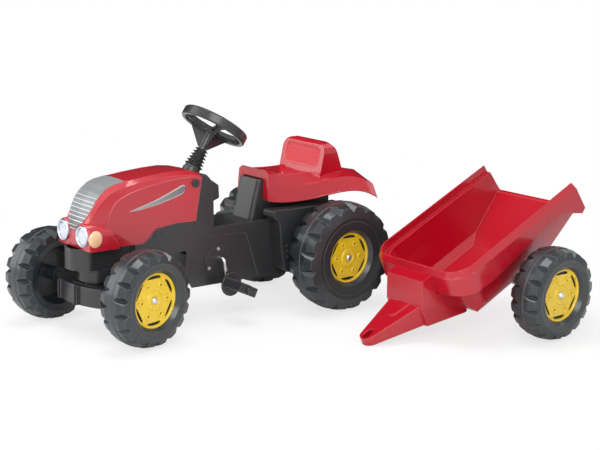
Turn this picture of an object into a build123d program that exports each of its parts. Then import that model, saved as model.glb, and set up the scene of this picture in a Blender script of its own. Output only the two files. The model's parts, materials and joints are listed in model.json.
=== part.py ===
from build123d import *
from math import asin, atan2, cos, degrees, hypot, pi, radians, sin, sqrt, tan
import os

# A child's pedal tractor, with its two-wheeled tipping trailer parked unhitched beside it.
# Millimetres, +Z up. The tractor faces -Y and its driver's left is +X, where the trailer stands.
# Tractor pieces are drawn from the floor point under the rear axle, trailer pieces from the
# middle of the trailer's axle with the tub level, and wheels from their hub with the axle along +Z.

os.makedirs("parts", exist_ok=True)

# Wheels and axles
wheelbase = 585.0
front_track = 316.0
rear_track = 312.0
small_tyre_radius = 107.0
small_tyre_width = 80.0
large_tyre_radius = 132.5
large_tyre_width = 92.0
lug_count = 18
lug_depth = 13.0
rim_radius = 61.0
rim_recess = 11.0
axle_radius = 5.0
hub_radius = 16.0
cap_radius = 8.0
rim_thickness = 9.0

# Clearances
running_gap = 0.05
body_gap = 0.3

# Chassis
chassis_half_width = 57.0
wall = 4.0
chassis_bottom = 80.0
footwell_height = 218.0
neck_rise = 18.0
front_box_half_width = 46.0
front_box_overhang = 73.0
tower_top = 343.0

step_height = 197.0
panel_recess = 1.5
pedestal_half_width = 38.0
pedestal_top = 312.0
hood_half_width = 50.0
spine_half_width = 38.0
bracket_reach = 98.0
bush_radius = 9.0
bush_length = 14.0

# Bonnet
bonnet_half_width = 58.0
bonnet_wall = 5.0
panel_inset = 2.6
bonnet_crown = 362.0
bonnet_hem = 201.0
lamp_radius = 22.0
lamp_spacing = 68.0
lamp_height = 233.0
nose_overhang = 57.0
bonnet_rear = -330.0
grille_proud = 1.5
grille_bar_count = 9
grille_bar_pitch = 8.5
grille_bar_height = 1.4
grille_first_bar = 243.0
plug_y = -360.0
plug_z = 326.0
plug_radius = 10.0

# Steering
steering_tilt = 33.0
steering_ratio = 3.395
parked_steer = 11.0
spoke_start = 60.0
spoke_count = 3
wheel_centre_y = -268.0
wheel_centre_z = 444.5
steering_wheel_radius = 81.0
steering_shaft_radius = 5.0
column_bush_radius = 9.0
column_boss_radius = 21.0
crank_throw = 48.0
crank_height = -310.0
shaft_foot = -385.0
hub_foot = -60.0
hub_top = -14.0
wheel_cap_radius = 19.0
fork_play = 2.8
fork_setback = 8.0
fork_length = 60.0
ring_height = 10.0
tongue_thickness = 7.0
turntable_thickness = 19.7
kingpin_radius = 6.0
turntable_radius = 46.0
beam_height = 43.0
axle_cover = 8.5

# Drive
crank_y = -287.0
crank_z = 142.0
crank_length = 60.0
crank_clearance = 16.0
crank_disc_radius = 36.0
crank_disc_offset = 9.0
pedal_length = 74.0
chain_pitch = 12.7
chainring_teeth = 16
sprocket_teeth = 12
chain_plane = 20.0
crank_angle = 12.0
pedal_tilt = 25.0

# Towing hitch
hitch_reach = 58.0
hitch_pin_radius = 7.0
hitch_shank_radius = 6.0
hitch_pin_length = 38.0
hitch_plate_top = 171.0

# Seat
seat_wall = 3.5
seat_front_y = -150.0
backrest_top = 394.0
backrest_half_width = 79.0
seat_bolt_radius = 2.5
seat_bolt_places = ((0.0, -60.0), (0.0, 30.0))

# Trailer
trailer_offset = 418.0
parking_gap = 4.0
trailer_track = 390.0
tub_front = 209.0
tub_rear = 203.0
sill_y = 208.0
outer_corner_radius = 56.0
inner_corner_radius = 40.0
keel_half_width = 57.0
tub_front_half_width = 147.0
tub_rear_half_width = 146.0
tub_rim = 163.0
tub_floor = 18.0
tub_wall = 4.0
rim_ledge = 15.0
rim_lip = 11.0
ledge_drop = 20.0
shoulder_drop = 15.0
shoulder_draft = 28.0
band_hem = 105.0
post_foot = (220.0, 86.0)
sill_height = 82.0
eye_reach = 382.0
eye_radius = 20.0
eye_bottom = 72.0
eye_top = 90.0
beam_root_half_width = 46.0
slot_radius = 8.5
slot_length = 34.0

# The front axle hangs under its turntable, which sets the height of the front box.
beam_top = small_tyre_radius + axle_cover
beam_bottom = beam_top - beam_height
tongue_top = beam_top + tongue_thickness
front_box_bottom = tongue_top + turntable_thickness + body_gap + ring_height
neck_bottom = front_box_bottom + neck_rise
front_box_nose = -wheelbase - front_box_overhang
bonnet_nose = -wheelbase - nose_overhang
pod_nose = -bonnet_nose
crank_reach = chassis_half_width + crank_clearance
axle_step = large_tyre_radius - small_tyre_radius
trailer_axle_back = sqrt((large_tyre_radius + small_tyre_radius + parking_gap) ** 2 - axle_step**2)

# The trailer leans on its drawbar: its pitch brings the tip of the eye down to the floor.
tip_reach = eye_reach + eye_radius
trailer_pitch = degrees(
    asin(small_tyre_radius / hypot(tip_reach, eye_bottom)) + atan2(eye_bottom, tip_reach)
)
pitch = radians(trailer_pitch)
trailer_tail = post_foot[0] * cos(pitch) - post_foot[1] * sin(pitch)

# The origin is on the floor, midway between the outermost tyres, noses and tails.
outer_left = trailer_offset + (trailer_track + small_tyre_width) / 2
steer = radians(parked_steer)
outer_right = (front_track + small_tyre_width) / 2 * cos(steer) + 0.8 * small_tyre_radius * sin(steer)
tractor_x = (outer_right - outer_left) / 2
tractor_nose = wheelbase + front_track / 2 * sin(steer) + small_tyre_radius
rear_axle_y = (tractor_nose - trailer_axle_back - trailer_tail) / 2

tractor = Location((tractor_x, rear_axle_y, 0))
trailer = Location(
    (tractor_x + trailer_offset, rear_axle_y + trailer_axle_back, small_tyre_radius),
    (trailer_pitch, 0, 0),
)
disc_y = crank_y - crank_disc_offset * 0.7
disc_z = crank_z - crank_disc_offset * 0.7
column_plane = Plane(
    origin=(0, wheel_centre_y, wheel_centre_z),
    x_dir=(1, 0, 0),
    z_dir=(0, sin(radians(steering_tilt)), cos(radians(steering_tilt))),
)
column = tractor * column_plane.location
steered_column = column * Location((0, 0, 0), (0, 0, steering_ratio * parked_steer))
kingpin_place = tractor * Location((0, -wheelbase, 0), (0, 0, parked_steer))

# Where the straight foot of the steering shaft crosses the middle of the axle's fork.
fork_middle = tongue_top - tongue_thickness / 2
shaft_fall = (wheel_centre_z - crank_throw * sin(radians(steering_tilt)) - fork_middle) / cos(radians(steering_tilt))
shaft_y = wheel_centre_y + crank_throw * cos(radians(steering_tilt)) - shaft_fall * sin(radians(steering_tilt))
fork_reach = wheelbase + shaft_y - fork_setback
pieces = {}


def finish(name, piece, place):
    """Puts a finished piece where it stands in the set, labels it and keeps it for writing."""
    with BuildPart() as placed:
        with Locations(place):
            add(piece.part)
    placed.part.label = name
    pieces[name] = placed


# ---------------------------------------------------------------- wheels


def tyre(radius, width):
    """A hollow-backed moulded wheel: scalloped tread, smooth sidewalls, web and hub in one."""
    half = width / 2
    face = half - rim_recess
    crown = radius - 1.5
    shoulder = radius - 7
    side = shoulder - 0.35 * (radius - rim_radius)
    seat = face - rim_thickness
    web_back = seat - 10
    with BuildPart() as body:
        with BuildSketch(Plane.XZ):
            with BuildLine():
                Polyline(
                    (axle_radius + running_gap, seat),
                    (rim_radius + running_gap, seat),
                    (rim_radius + running_gap, face),
                    (rim_radius + 7, half - 2),
                    (side, half),
                    (shoulder, half - 5),
                    (crown, 0.45 * half),
                    (crown, 5),
                    (radius, 4),
                    (radius, -4),
                    (crown, -5),
                    (crown, -0.45 * half),
                    (shoulder, 5 - half),
                    (side, -half),
                    (rim_radius + 8, 4 - half),
                    (rim_radius - 4, web_back),
                    (hub_radius, web_back),
                    (hub_radius, 8 - half),
                    (axle_radius + running_gap, 8 - half),
                    close=True,
                )
            make_face()
        revolve(axis=Axis.Z)
        notch_half_width = 0.34 * 2 * pi * radius / lug_count
        for face_side in (1, -1):
            start = Vector(crown, 0, face_side * 6)
            end = Vector(shoulder - lug_depth, 0, face_side * half)
            valley = Plane(origin=start, x_dir=(0, 1, 0), z_dir=end - start)
            outwards = 1 if valley.y_dir.X > 0 else -1
            mouth = (notch_half_width * 1.5, outwards * lug_depth * 1.5)
            with BuildPart(mode=Mode.PRIVATE) as notch:
                with BuildSketch(valley):
                    with BuildLine():
                        Polyline((0, 0), mouth, (-mouth[0], mouth[1]), close=True)
                    make_face()
                extrude(amount=(end - start).length + lug_depth)
            turn = 0 if face_side > 0 else 180 / lug_count
            with PolarLocations(0, lug_count, start_angle=turn):
                add(notch.part, mode=Mode.SUBTRACT)
    return body


def rim(face_height):
    """The yellow rim disc: raised edge ring, six crescent slots, six bosses and a centre disc."""
    base = face_height - rim_thickness
    with BuildPart() as disc:
        with BuildSketch(Plane.XZ):
            with BuildLine():
                Polyline(
                    (cap_radius, base),
                    (rim_radius, base),
                    (rim_radius, face_height),
                    (rim_radius - 4, face_height),
                    (rim_radius - 6, face_height - 4),
                    (23, face_height - 4),
                    (21, face_height - 1),
                    (13, face_height - 1),
                    (11, face_height - 3),
                    (cap_radius, face_height - 3),
                    close=True,
                )
            make_face()
        revolve(axis=Axis.Z)
        with BuildSketch(Plane.XY.offset(face_height - 4)):
            with PolarLocations(37, 6):
                Circle(8)
        extrude(amount=2.5)
        with BuildSketch(Plane.XY.offset(base)):
            with PolarLocations(37, 6):
                Circle(2.5)
            with PolarLocations(0, 6, start_angle=30):
                with BuildLine(mode=Mode.ADD):
                    chord = Line((49, -17), (49, 17))
                    ThreePointArc(chord @ 1, (54.5, 0), chord @ 0)
                make_face()
        extrude(amount=20, mode=Mode.SUBTRACT)
    return disc


def cap(face_height):
    """The pressed steel cap that locks a wheel on its axle."""
    base = face_height - rim_thickness + body_gap
    with BuildPart() as dome:
        with BuildSketch(Plane.XZ):
            with BuildLine():
                Polyline(
                    (axle_radius, base),
                    (cap_radius - running_gap, base),
                    (cap_radius - running_gap, face_height - 1),
                    (5.5, face_height + 2),
                    (0, face_height + 3),
                    (0, face_height - 1),
                    (axle_radius, face_height - 1),
                    close=True,
                )
            make_face()
        revolve(axis=Axis.Z)
    return dome


small_face = small_tyre_width / 2 - rim_recess
large_face = large_tyre_width / 2 - rim_recess
small_tyre = tyre(small_tyre_radius, small_tyre_width)
large_tyre = tyre(large_tyre_radius, large_tyre_width)
small_rim = rim(small_face)
large_rim = rim(large_face)
small_cap = cap(small_face)
large_cap = cap(large_face)


def add_wheel(prefix, side, place, track, tyre_body, rim_body, cap_body):
    """Stands one wheel at half the track on the given side, facing outwards."""
    hub = place * Location((side * track / 2, 0, 0), (0, side * 90, 0))
    suffix = "left" if side > 0 else "right"
    finish(f"{prefix}_tyre_{suffix}", tyre_body, hub)
    finish(f"{prefix}_rim_{suffix}", rim_body, hub)
    finish(f"{prefix}_cap_{suffix}", cap_body, hub)


front_axle_place = kingpin_place * Location((0, 0, small_tyre_radius))
rear_axle_place = tractor * Location((0, 0, large_tyre_radius))
for side in (1, -1):
    add_wheel("front", side, front_axle_place, front_track, small_tyre, small_rim, small_cap)
    add_wheel("rear", side, rear_axle_place, rear_track, large_tyre, large_rim, large_cap)
    add_wheel("trailer", side, trailer, trailer_track, small_tyre, small_rim, small_cap)


# ---------------------------------------------------------------- chassis

neck_front = -520.0
collar_seat = -116.0
deck_boss = -238.0
hull_front = -380.0
hull_rear = 76.0
tower_front = ((-357.0, 238.0), (-341.0, tower_top))
deck_line = ((-410.0, 238.0), (-464.0, 231.0), (-485.0, 210.0), (-497.0, bonnet_hem))
tower_rear = ((-319.0, 333.0), (-308.0, 276.0), (-306.0, footwell_height))
inner_half_width = chassis_half_width - wall

with BuildPart() as chassis:
    with BuildSketch(Plane.YZ):
        with BuildLine():
            Polyline(
                (hull_front, 104),
                (hull_front + 16, chassis_bottom),
                (hull_rear - 16, chassis_bottom),
                (hull_rear, chassis_bottom + 16),
                (hull_rear, footwell_height),
                tower_rear[2],
                tower_rear[1],
                tower_rear[0],
                (-330, tower_top),
                tower_front[1],
                tower_front[0],
                *deck_line,
                (neck_front, bonnet_hem),
                (neck_front, neck_bottom),
                (hull_front, neck_bottom),
                close=True,
            )
        make_face()
    extrude(amount=chassis_half_width, both=True)
    fillet(chassis.edges().filter_by(Axis.Y).group_by(Axis.Z)[-1], radius=3)
    with BuildSketch(Plane.YZ):
        with BuildLine():
            Polyline(
                (hull_front + wall, chassis_bottom - 10),
                (hull_rear - wall, chassis_bottom - 10),
                (hull_rear - wall, footwell_height - wall),
                (tower_rear[2][0] - wall, footwell_height - wall),
                (tower_rear[1][0] - wall, 276),
                (tower_rear[0][0] - wall, 329),
                (-330, tower_top - wall),
                (tower_front[1][0] + wall, tower_top - wall),
                (tower_front[0][0] + wall, 234),
                (deck_line[0][0], 234),
                (deck_line[1][0] + 2, 227),
                (deck_line[2][0] + 3, 207),
                (deck_line[3][0] + 2, bonnet_hem - wall),
                (neck_front + wall, bonnet_hem - wall),
                (neck_front + wall, neck_bottom - 10),
                (hull_front + wall, neck_bottom - 10),
                close=True,
            )
        make_face()
    extrude(amount=inner_half_width, both=True, mode=Mode.SUBTRACT)
    # The front box closes the nose under the bonnet and carries the turntable.
    with BuildSketch(Plane.XY.offset(front_box_bottom)):
        with BuildLine():
            Polyline(
                (front_box_half_width, neck_front),
                (front_box_half_width, front_box_nose + 28),
                (front_box_half_width - 28, front_box_nose),
                (28 - front_box_half_width, front_box_nose),
                (-front_box_half_width, front_box_nose + 28),
                (-front_box_half_width, neck_front),
                close=True,
            )
        make_face()
    extrude(amount=bonnet_hem - front_box_bottom)
    with BuildSketch(Plane.XY.offset(front_box_bottom + wall)):
        with BuildLine():
            Polyline(
                (front_box_half_width - wall, neck_front - wall),
                (front_box_half_width - wall, front_box_nose + 30),
                (front_box_half_width - 30, front_box_nose + wall),
                (30 - front_box_half_width, front_box_nose + wall),
                (wall - front_box_half_width, front_box_nose + 30),
                (wall - front_box_half_width, neck_front - wall),
                close=True,
            )
        make_face()
    extrude(amount=bonnet_hem, mode=Mode.SUBTRACT)

    # Recessed side panel around the cranks, and its step line.
    for side in (1, -1):
        with BuildSketch(Plane.YZ.offset(side * chassis_half_width)):
            with BuildLine():
                FilletPolyline(
                    (hull_front - 4, chassis_bottom - 4),
                    (hull_front - 4, step_height),
                    (-212, step_height - 2),
                    (-170, chassis_bottom - 4),
                    radius=14,
                )
                Line((-170, chassis_bottom - 4), (hull_front - 4, chassis_bottom - 4))
            make_face()
        extrude(amount=-side * panel_recess, mode=Mode.SUBTRACT)
    # Openings for the crank discs, the rear axle, the kingpin and the steering shaft.
    with BuildSketch(Plane.YZ):
        with Locations((disc_y, disc_z)):
            Circle(crank_disc_radius + running_gap)
        with Locations((0, large_tyre_radius)):
            Circle(bush_radius + running_gap)
    extrude(amount=chassis_half_width + 1, both=True, mode=Mode.SUBTRACT)
    with BuildSketch(Plane.XY.offset(front_box_bottom)):
        with Locations((0, -wheelbase)):
            Circle(kingpin_radius + 2)
    extrude(amount=2 * wall, mode=Mode.SUBTRACT)
    # Narrow spine down the back of the tower, under the hood.
    with BuildSketch(Plane.YZ):
        with BuildLine():
            Polyline(
                (tower_rear[1][0] - 1, 271),
                (tower_rear[1][0] + 11, 271),
                (tower_rear[2][0] + 11, footwell_height - 1),
                (tower_rear[2][0] - 1, footwell_height - 1),
                close=True,
            )
        make_face()
    extrude(amount=spine_half_width, both=True)
    # Bosses for the steering column: a wide one in the tower's top, a close one in the deck.
    for top, depth, radius in ((collar_seat, 30, column_boss_radius), (deck_boss, 24, 12)):
        with BuildSketch(column_plane.offset(top)):
            Circle(radius)
        extrude(amount=-depth)
    with BuildSketch(column_plane.offset(collar_seat)):
        Circle(column_bush_radius + running_gap)
    extrude(amount=deck_boss - collar_seat, mode=Mode.SUBTRACT)
    with BuildSketch(column_plane.offset(deck_boss)):
        Circle(steering_shaft_radius + running_gap)
    extrude(amount=-40, mode=Mode.SUBTRACT)
finish("chassis", chassis, tractor)

# The hood that faces the rider at the back of the tower.
with BuildPart() as dash_hood:
    with BuildSketch(Plane.YZ):
        with BuildLine():
            Polyline(
                tower_rear[0],
                (-290, 314),
                (-287, 284),
                tower_rear[1],
                close=True,
            )
        make_face()
    extrude(amount=hood_half_width, both=True)
    fillet(dash_hood.edges().filter_by(Axis.X).sort_by(Axis.Y)[-2:], radius=5)
    with BuildSketch(column_plane.offset(collar_seat)):
        Circle(column_boss_radius)
    extrude(amount=-30, mode=Mode.SUBTRACT)
finish("dash_hood", dash_hood, tractor)

# The pedestal rises through the notch in the seat's front skirt.
with BuildPart() as seat_pedestal:
    with BuildSketch(Plane.YZ):
        with BuildLine():
            Polyline(
                (-186, footwell_height),
                (-164, pedestal_top),
                (60, pedestal_top),
                (60, footwell_height),
                close=True,
            )
        make_face()
    extrude(amount=pedestal_half_width, both=True)
    fillet(seat_pedestal.edges().filter_by(Axis.X, reverse=True).group_by(Axis.Y)[0], radius=10)
    with BuildSketch(Plane.XY.offset(footwell_height)):
        with Locations((0, -52)):
            Rectangle(2 * (pedestal_half_width - wall), 196)
    extrude(amount=pedestal_top - footwell_height - wall, mode=Mode.SUBTRACT)
    with BuildSketch(Plane.XY.offset(pedestal_top)):
        with Locations(*seat_bolt_places):
            Circle(seat_bolt_radius)
    extrude(amount=-wall, mode=Mode.SUBTRACT)
finish("seat_pedestal", seat_pedestal, tractor)

# Rear axle brackets stand on each side of the hull and hold the axle's bushes.
with BuildPart() as bracket:
    with BuildSketch(Plane.YZ.offset(chassis_half_width)):
        with BuildLine():
            Polyline(
                (-100, 88),
                (-124, 100),
                (-138, 170),
                (-143, 216),
                (-162, 232),
                (-162, 247),
                (56, 247),
                (56, 112),
                (38, 88),
                close=True,
            )
        make_face()
        with Locations((0, large_tyre_radius)):
            Circle(bush_radius, mode=Mode.SUBTRACT)
    extrude(amount=bracket_reach - chassis_half_width)
    fillet(bracket.edges().filter_by(Axis.X).group_by(Axis.Y)[0], radius=6)
    with BuildSketch(Plane.YZ.offset(bracket_reach)):
        with Locations((-128, 160), (-126, 146), (-124, 132)):
            Rectangle(20, 3)
    extrude(amount=-3, mode=Mode.SUBTRACT)
for side, suffix in ((1, "left"), (-1, "right")):
    with BuildPart() as rear_bracket:
        if side > 0:
            add(bracket.part)
        else:
            add(mirror(bracket.part, about=Plane.YZ))
    finish(f"rear_axle_bracket_{suffix}", rear_bracket, tractor)

with BuildPart() as axle_bushes:
    for side in (1, -1):
        inner_end = side * (bracket_reach - bush_length)
        with BuildSketch(Plane((inner_end, 0, large_tyre_radius), z_dir=(side, 0, 0))):
            Circle(bush_radius)
            Circle(axle_radius + running_gap, mode=Mode.SUBTRACT)
        extrude(amount=bush_length)
finish("rear_axle_bushes", axle_bushes, tractor)

# ---------------------------------------------------------------- bonnet


def bonnet_form(grow):
    """The closed outer form of the bonnet, grown or shrunk by a wall."""
    # Share of the length from rear to nose, then crown, panel half width, shoulder x and z, side x and z.
    stations = (
        (0, 345, 42, 54, 337, bonnet_half_width, 331),
        (0.122, 355, 42, 54, 346, bonnet_half_width, 336),
        (0.224, 358, 42, 54, 348, bonnet_half_width, 337),
        (0.365, 356, 42, 54, 346, bonnet_half_width, 334),
        (0.532, 351, 42, 54, 341, bonnet_half_width, 327),
        (0.673, 345, 43, 54, 334, bonnet_half_width - 1, 316),
        (0.763, 340, 44, 54, 328, bonnet_half_width - 2, 306),
        (0.817, 334, 44, 53, 320, bonnet_half_width - 3, 296),
        (0.872, 320, 43, 52, 306, bonnet_half_width - 4, 282),
        (0.91, 306, 42, 51, 292, bonnet_half_width - 5, 270),
        (0.939, 290, 40, 49, 277, bonnet_half_width - 7, 257),
        (0.962, 276, 36, 46, 264, bonnet_half_width - 9, 246),
        (0.984, 262, 31, 42, 250, bonnet_half_width - 12, 234),
        (1, 250, 26, 38, 238, bonnet_half_width - 15, 224),
    )
    with BuildPart() as form:
        for share, crown, panel, shoulder, shoulder_height, half, side_height in stations:
            y = bonnet_rear + share * (bonnet_nose - bonnet_rear)
            nose_shift = grow if share == 1 else 0
            with BuildSketch(Plane.XZ.offset(nose_shift - y)):
                with BuildLine():
                    Polyline(
                        (0, 150),
                        (half + grow, 150),
                        (half + grow, side_height + grow),
                        (shoulder + grow, shoulder_height + grow),
                        (panel + grow, crown - 2 + grow),
                        (0, crown + grow),
                        close=True,
                    )
                make_face()
                mirror(about=Plane.YZ)
        loft(ruled=True)
    return form


bonnet_outer = bonnet_form(0)
bonnet_inner = bonnet_form(-bonnet_wall)
with BuildPart() as pods:
    with BuildSketch(Plane.XZ.offset(560)):
        for side in (1, -1):
            with Locations((side * lamp_spacing / 2, lamp_height)):
                Circle(lamp_radius + 3)
            with Locations((side * lamp_spacing / 2, (bonnet_hem + lamp_height) / 2)):
                Rectangle(2 * (lamp_radius + 3), lamp_height - bonnet_hem)
    extrude(amount=pod_nose - 560)
    with BuildSketch(Plane.YZ):
        with BuildLine():
            Polyline(
                (-700, 190),
                (-700, 262),
                (-606, 262),
                (-584, 249),
                (-562, bonnet_hem),
                (-562, 190),
                close=True,
            )
        make_face()
    extrude(amount=90, both=True, mode=Mode.INTERSECT)

# The side panels lie inside the shoulder line: deepest at the nose, level with it at the rear.
with BuildPart() as side_panels:
    for side in (1, -1):
        panel_plane = Plane(
            origin=(side * (bonnet_half_width - panel_inset - 1.5), bonnet_nose + 89, 0),
            x_dir=(side * (panel_inset + 0.5), 213, 0),
            z_dir=(side * 213, -panel_inset - 0.5, 0),
        )
        with BuildSketch(panel_plane):
            with BuildLine():
                arch = Spline(
                    (-42, 238),
                    (-33, 272),
                    (-18, 299),
                    (12, 316),
                    (60, 328),
                    (120, 338),
                    (212, 342),
                )
                Polyline(arch @ 1, (240, 342), (240, 150), (-42, 150), arch @ 0)
            make_face()
            if side < 0:
                mirror(about=Plane.YZ, mode=Mode.REPLACE)
        extrude(amount=30)

with BuildPart() as bonnet:
    add(bonnet_outer.part)
    add(side_panels.part, mode=Mode.SUBTRACT)
    add(pods.part)
    add(bonnet_inner.part, mode=Mode.SUBTRACT)
    # The hem follows the deck line and the rear edge leans with the tower.
    with BuildSketch(Plane.YZ):
        with BuildLine():
            Polyline(
                (-700, 100),
                (-700, bonnet_hem),
                deck_line[3],
                deck_line[2],
                deck_line[1],
                deck_line[0],
                tower_front[0],
                tower_front[1],
                (-338, 420),
                (-250, 420),
                (-250, 100),
                close=True,
            )
        make_face()
    extrude(amount=90, both=True, mode=Mode.SUBTRACT)
    with BuildSketch(Plane.YZ):
        with Locations((plug_y, plug_z)):
            Circle(plug_radius - 3)
    extrude(amount=90, both=True, mode=Mode.SUBTRACT)
    for side in (1, -1):
        with BuildSketch(Plane((side * bonnet_half_width, plug_y, plug_z), z_dir=(side, 0, 0))):
            Circle(plug_radius + 1)
        extrude(amount=5, mode=Mode.SUBTRACT)
    # Notch round the steering column.
    with BuildSketch(column_plane.offset(collar_seat - 30)):
        Circle(column_boss_radius + 3)
    extrude(amount=110, mode=Mode.SUBTRACT)
finish("bonnet", bonnet, tractor)

# The grille is a curved plate laid on the nose, with raised bars below a plain crown.
grille_edge = ((10, 240), (30, 258), (36, 270), (42, 293), (43, 315), (41, 346))
grille_outline = [(-x, z) for x, z in grille_edge] + [(x, z) for x, z in reversed(grille_edge)]
with BuildPart() as grille_bars:
    with BuildSketch(Plane.XZ.offset(540)):
        with Locations(
            *[(0, grille_first_bar + bar * grille_bar_pitch) for bar in range(grille_bar_count)]
        ):
            Rectangle(2 * bonnet_half_width, grille_bar_height)
        with BuildLine():
            Polyline(*grille_outline, close=True)
        make_face(mode=Mode.INTERSECT)
    extrude(amount=140)
    add(bonnet_form(2 * grille_proud).part, mode=Mode.INTERSECT)

with BuildPart() as grille:
    with BuildSketch(Plane.XZ.offset(540)):
        with BuildLine():
            Polyline(*grille_outline, close=True)
        make_face()
    extrude(amount=140)
    add(bonnet_form(grille_proud).part, mode=Mode.INTERSECT)
    add(grille_bars.part)
    add(bonnet_outer.part, mode=Mode.SUBTRACT)
    add(pods.part, mode=Mode.SUBTRACT)
    with BuildSketch(Plane.XZ.offset(pod_nose - 1)):
        with Locations((lamp_spacing / 2, lamp_height), (-lamp_spacing / 2, lamp_height)):
            Circle(lamp_radius + 2)
    extrude(amount=10, mode=Mode.SUBTRACT)
finish("grille", grille, tractor)

with BuildPart() as headlamp_lenses:
    for side in (1, -1):
        with BuildSketch(Plane((side * lamp_spacing / 2, -pod_nose, lamp_height), z_dir=(0, -1, 0))):
            Circle(lamp_radius)
        extrude(amount=4)
    chamfer(headlamp_lenses.faces().sort_by(Axis.Y)[:2].edges(), 1.5)
finish("headlamp_lenses", headlamp_lenses, tractor)

with BuildPart() as indicator_lenses:
    for side in (1, -1):
        face_x = side * (lamp_spacing / 2 + lamp_radius + 3)
        with BuildSketch(Plane((face_x, -618, 227), z_dir=(side, 0, 0))):
            Circle(15)
        extrude(amount=5)
finish("indicator_lenses", indicator_lenses, tractor)

with BuildPart() as bonnet_plugs:
    for side in (1, -1):
        with BuildSketch(Plane((side * bonnet_half_width, plug_y, plug_z), z_dir=(side, 0, 0))):
            Circle(plug_radius)
        extrude(amount=2)
        with BuildSketch(Plane((side * bonnet_half_width, plug_y, plug_z), z_dir=(-side, 0, 0))):
            Circle(plug_radius - 3)
        extrude(amount=8)
finish("bonnet_plugs", bonnet_plugs, tractor)

with BuildPart() as bonnet_screws:
    for side in (1, -1):
        with BuildSketch(Plane((side * chassis_half_width, -462, 217), z_dir=(side, 0, 0))):
            Circle(6)
        extrude(amount=2.5)
finish("bonnet_screws", bonnet_screws, tractor)

# ---------------------------------------------------------------- steering column

with BuildPart() as column_bush:
    with BuildSketch(Plane.XY.offset(collar_seat)):
        Circle(column_boss_radius - 2)
        Circle(steering_shaft_radius + running_gap, mode=Mode.SUBTRACT)
    extrude(amount=6)
    with BuildSketch(Plane.XY.offset(collar_seat)):
        Circle(column_bush_radius)
        Circle(steering_shaft_radius + running_gap, mode=Mode.SUBTRACT)
    extrude(amount=-30)
finish("column_bush", column_bush, column)

bellows_base = collar_seat + 6
bellows_top = -62.0
fin_count = 6
fin_pitch = (bellows_top - bellows_base) / fin_count
with BuildPart() as steering_bellows:
    with BuildSketch(Plane.XZ):
        with BuildLine():
            outline = [(7, bellows_base), (18, bellows_base)]
            for fin in range(fin_count):
                root_height = bellows_base + fin * fin_pitch
                fin_radius = 23 - 1.3 * fin
                outline += [(fin_radius - 6, root_height + 1), (fin_radius, root_height + 0.45 * fin_pitch)]
                outline += [(fin_radius - 6, root_height + 0.85 * fin_pitch)]
            outline += [(11, bellows_top), (7, bellows_top)]
            Polyline(*outline, close=True)
        make_face()
    revolve(axis=Axis.Z)
finish("steering_bellows", steering_bellows, column)

with BuildPart() as steering_wheel:
    # Flat-section rim.
    with BuildSketch(Plane.XZ):
        with BuildLine():
            outer = steering_wheel_radius
            Polyline(
                (outer - 10, -11),
                (outer - 2, -12),
                (outer, -9),
                (outer, 8),
                (outer - 3, 11),
                (outer - 9, 10),
                close=True,
            )
        make_face()
    revolve(axis=Axis.Z)
    with BuildSketch(Plane.XY.offset(hub_foot)):
        Circle(11)
    extrude(amount=hub_top - hub_foot)
    with BuildSketch(Plane.XY.offset(-21)):
        Circle(22)
    extrude(amount=7)
    # Three dished spokes with a gusset under each.
    with BuildPart(mode=Mode.PRIVATE) as spoke:
        with BuildSketch(Plane.XZ):
            with BuildLine():
                Polyline((8, -21), (8, -14), (outer - 9, -1), (outer - 9, -7), close=True)
            make_face()
        extrude(amount=20, both=True)
        with BuildSketch(Plane.XY.offset(-30)):
            with BuildLine():
                Polyline((8, 15), (22, 9), (50, 8), (outer - 9, 18), (outer - 9, 0), (8, 0), close=True)
            make_face()
            mirror(about=Plane.XZ)
        extrude(amount=40, mode=Mode.INTERSECT)
        with BuildSketch(Plane.XZ):
            with BuildLine():
                Polyline((9, hub_foot), (13, hub_foot), (62, -9), (62, -4), (9, -16), close=True)
            make_face()
        extrude(amount=1.6, both=True)
    with PolarLocations(0, spoke_count, start_angle=spoke_start):
        add(spoke.part)
    with BuildSketch(Plane.XY.offset(hub_foot)):
        Circle(steering_shaft_radius)
    extrude(amount=-18 - hub_foot, mode=Mode.SUBTRACT)
    with BuildSketch(Plane.XY.offset(hub_top)):
        Circle(wheel_cap_radius)
    extrude(amount=20, mode=Mode.SUBTRACT)
finish("steering_wheel", steering_wheel, steered_column)

with BuildPart() as steering_wheel_cap:
    with BuildSketch(Plane.XY.offset(hub_top)):
        Circle(wheel_cap_radius)
    extrude(amount=5)
    chamfer(steering_wheel_cap.faces().sort_by(Axis.Z)[-1].edges(), 2)
finish("steering_wheel_cap", steering_wheel_cap, steered_column)

# The bent steel shaft: its lower end cranks back and down into the axle's fork.
with BuildPart() as steering_shaft:
    with BuildLine():
        FilletPolyline(
            (0, 0, -18),
            (0, 0, crank_height),
            (0, crank_throw, crank_height - 30),
            (0, crank_throw, shaft_foot),
            radius=9,
        )
    with BuildSketch(Plane.XY.offset(-18)):
        Circle(steering_shaft_radius)
    sweep()
finish("steering_shaft", steering_shaft, steered_column)

# ---------------------------------------------------------------- front axle

with BuildPart() as turntable_ring:
    with BuildSketch(Plane.XY.offset(front_box_bottom - ring_height)):
        Circle(turntable_radius)
        Circle(kingpin_radius + running_gap, mode=Mode.SUBTRACT)
    extrude(amount=ring_height)
finish("turntable_ring", turntable_ring, tractor * Location((0, -wheelbase, 0)))

with BuildPart() as turntable_plate:
    with BuildSketch(Plane.XY.offset(tongue_top)):
        Circle(turntable_radius - 3)
        Circle(kingpin_radius, mode=Mode.SUBTRACT)
    extrude(amount=front_box_bottom - ring_height - body_gap - tongue_top)
finish("turntable_plate", turntable_plate, kingpin_place)

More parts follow.
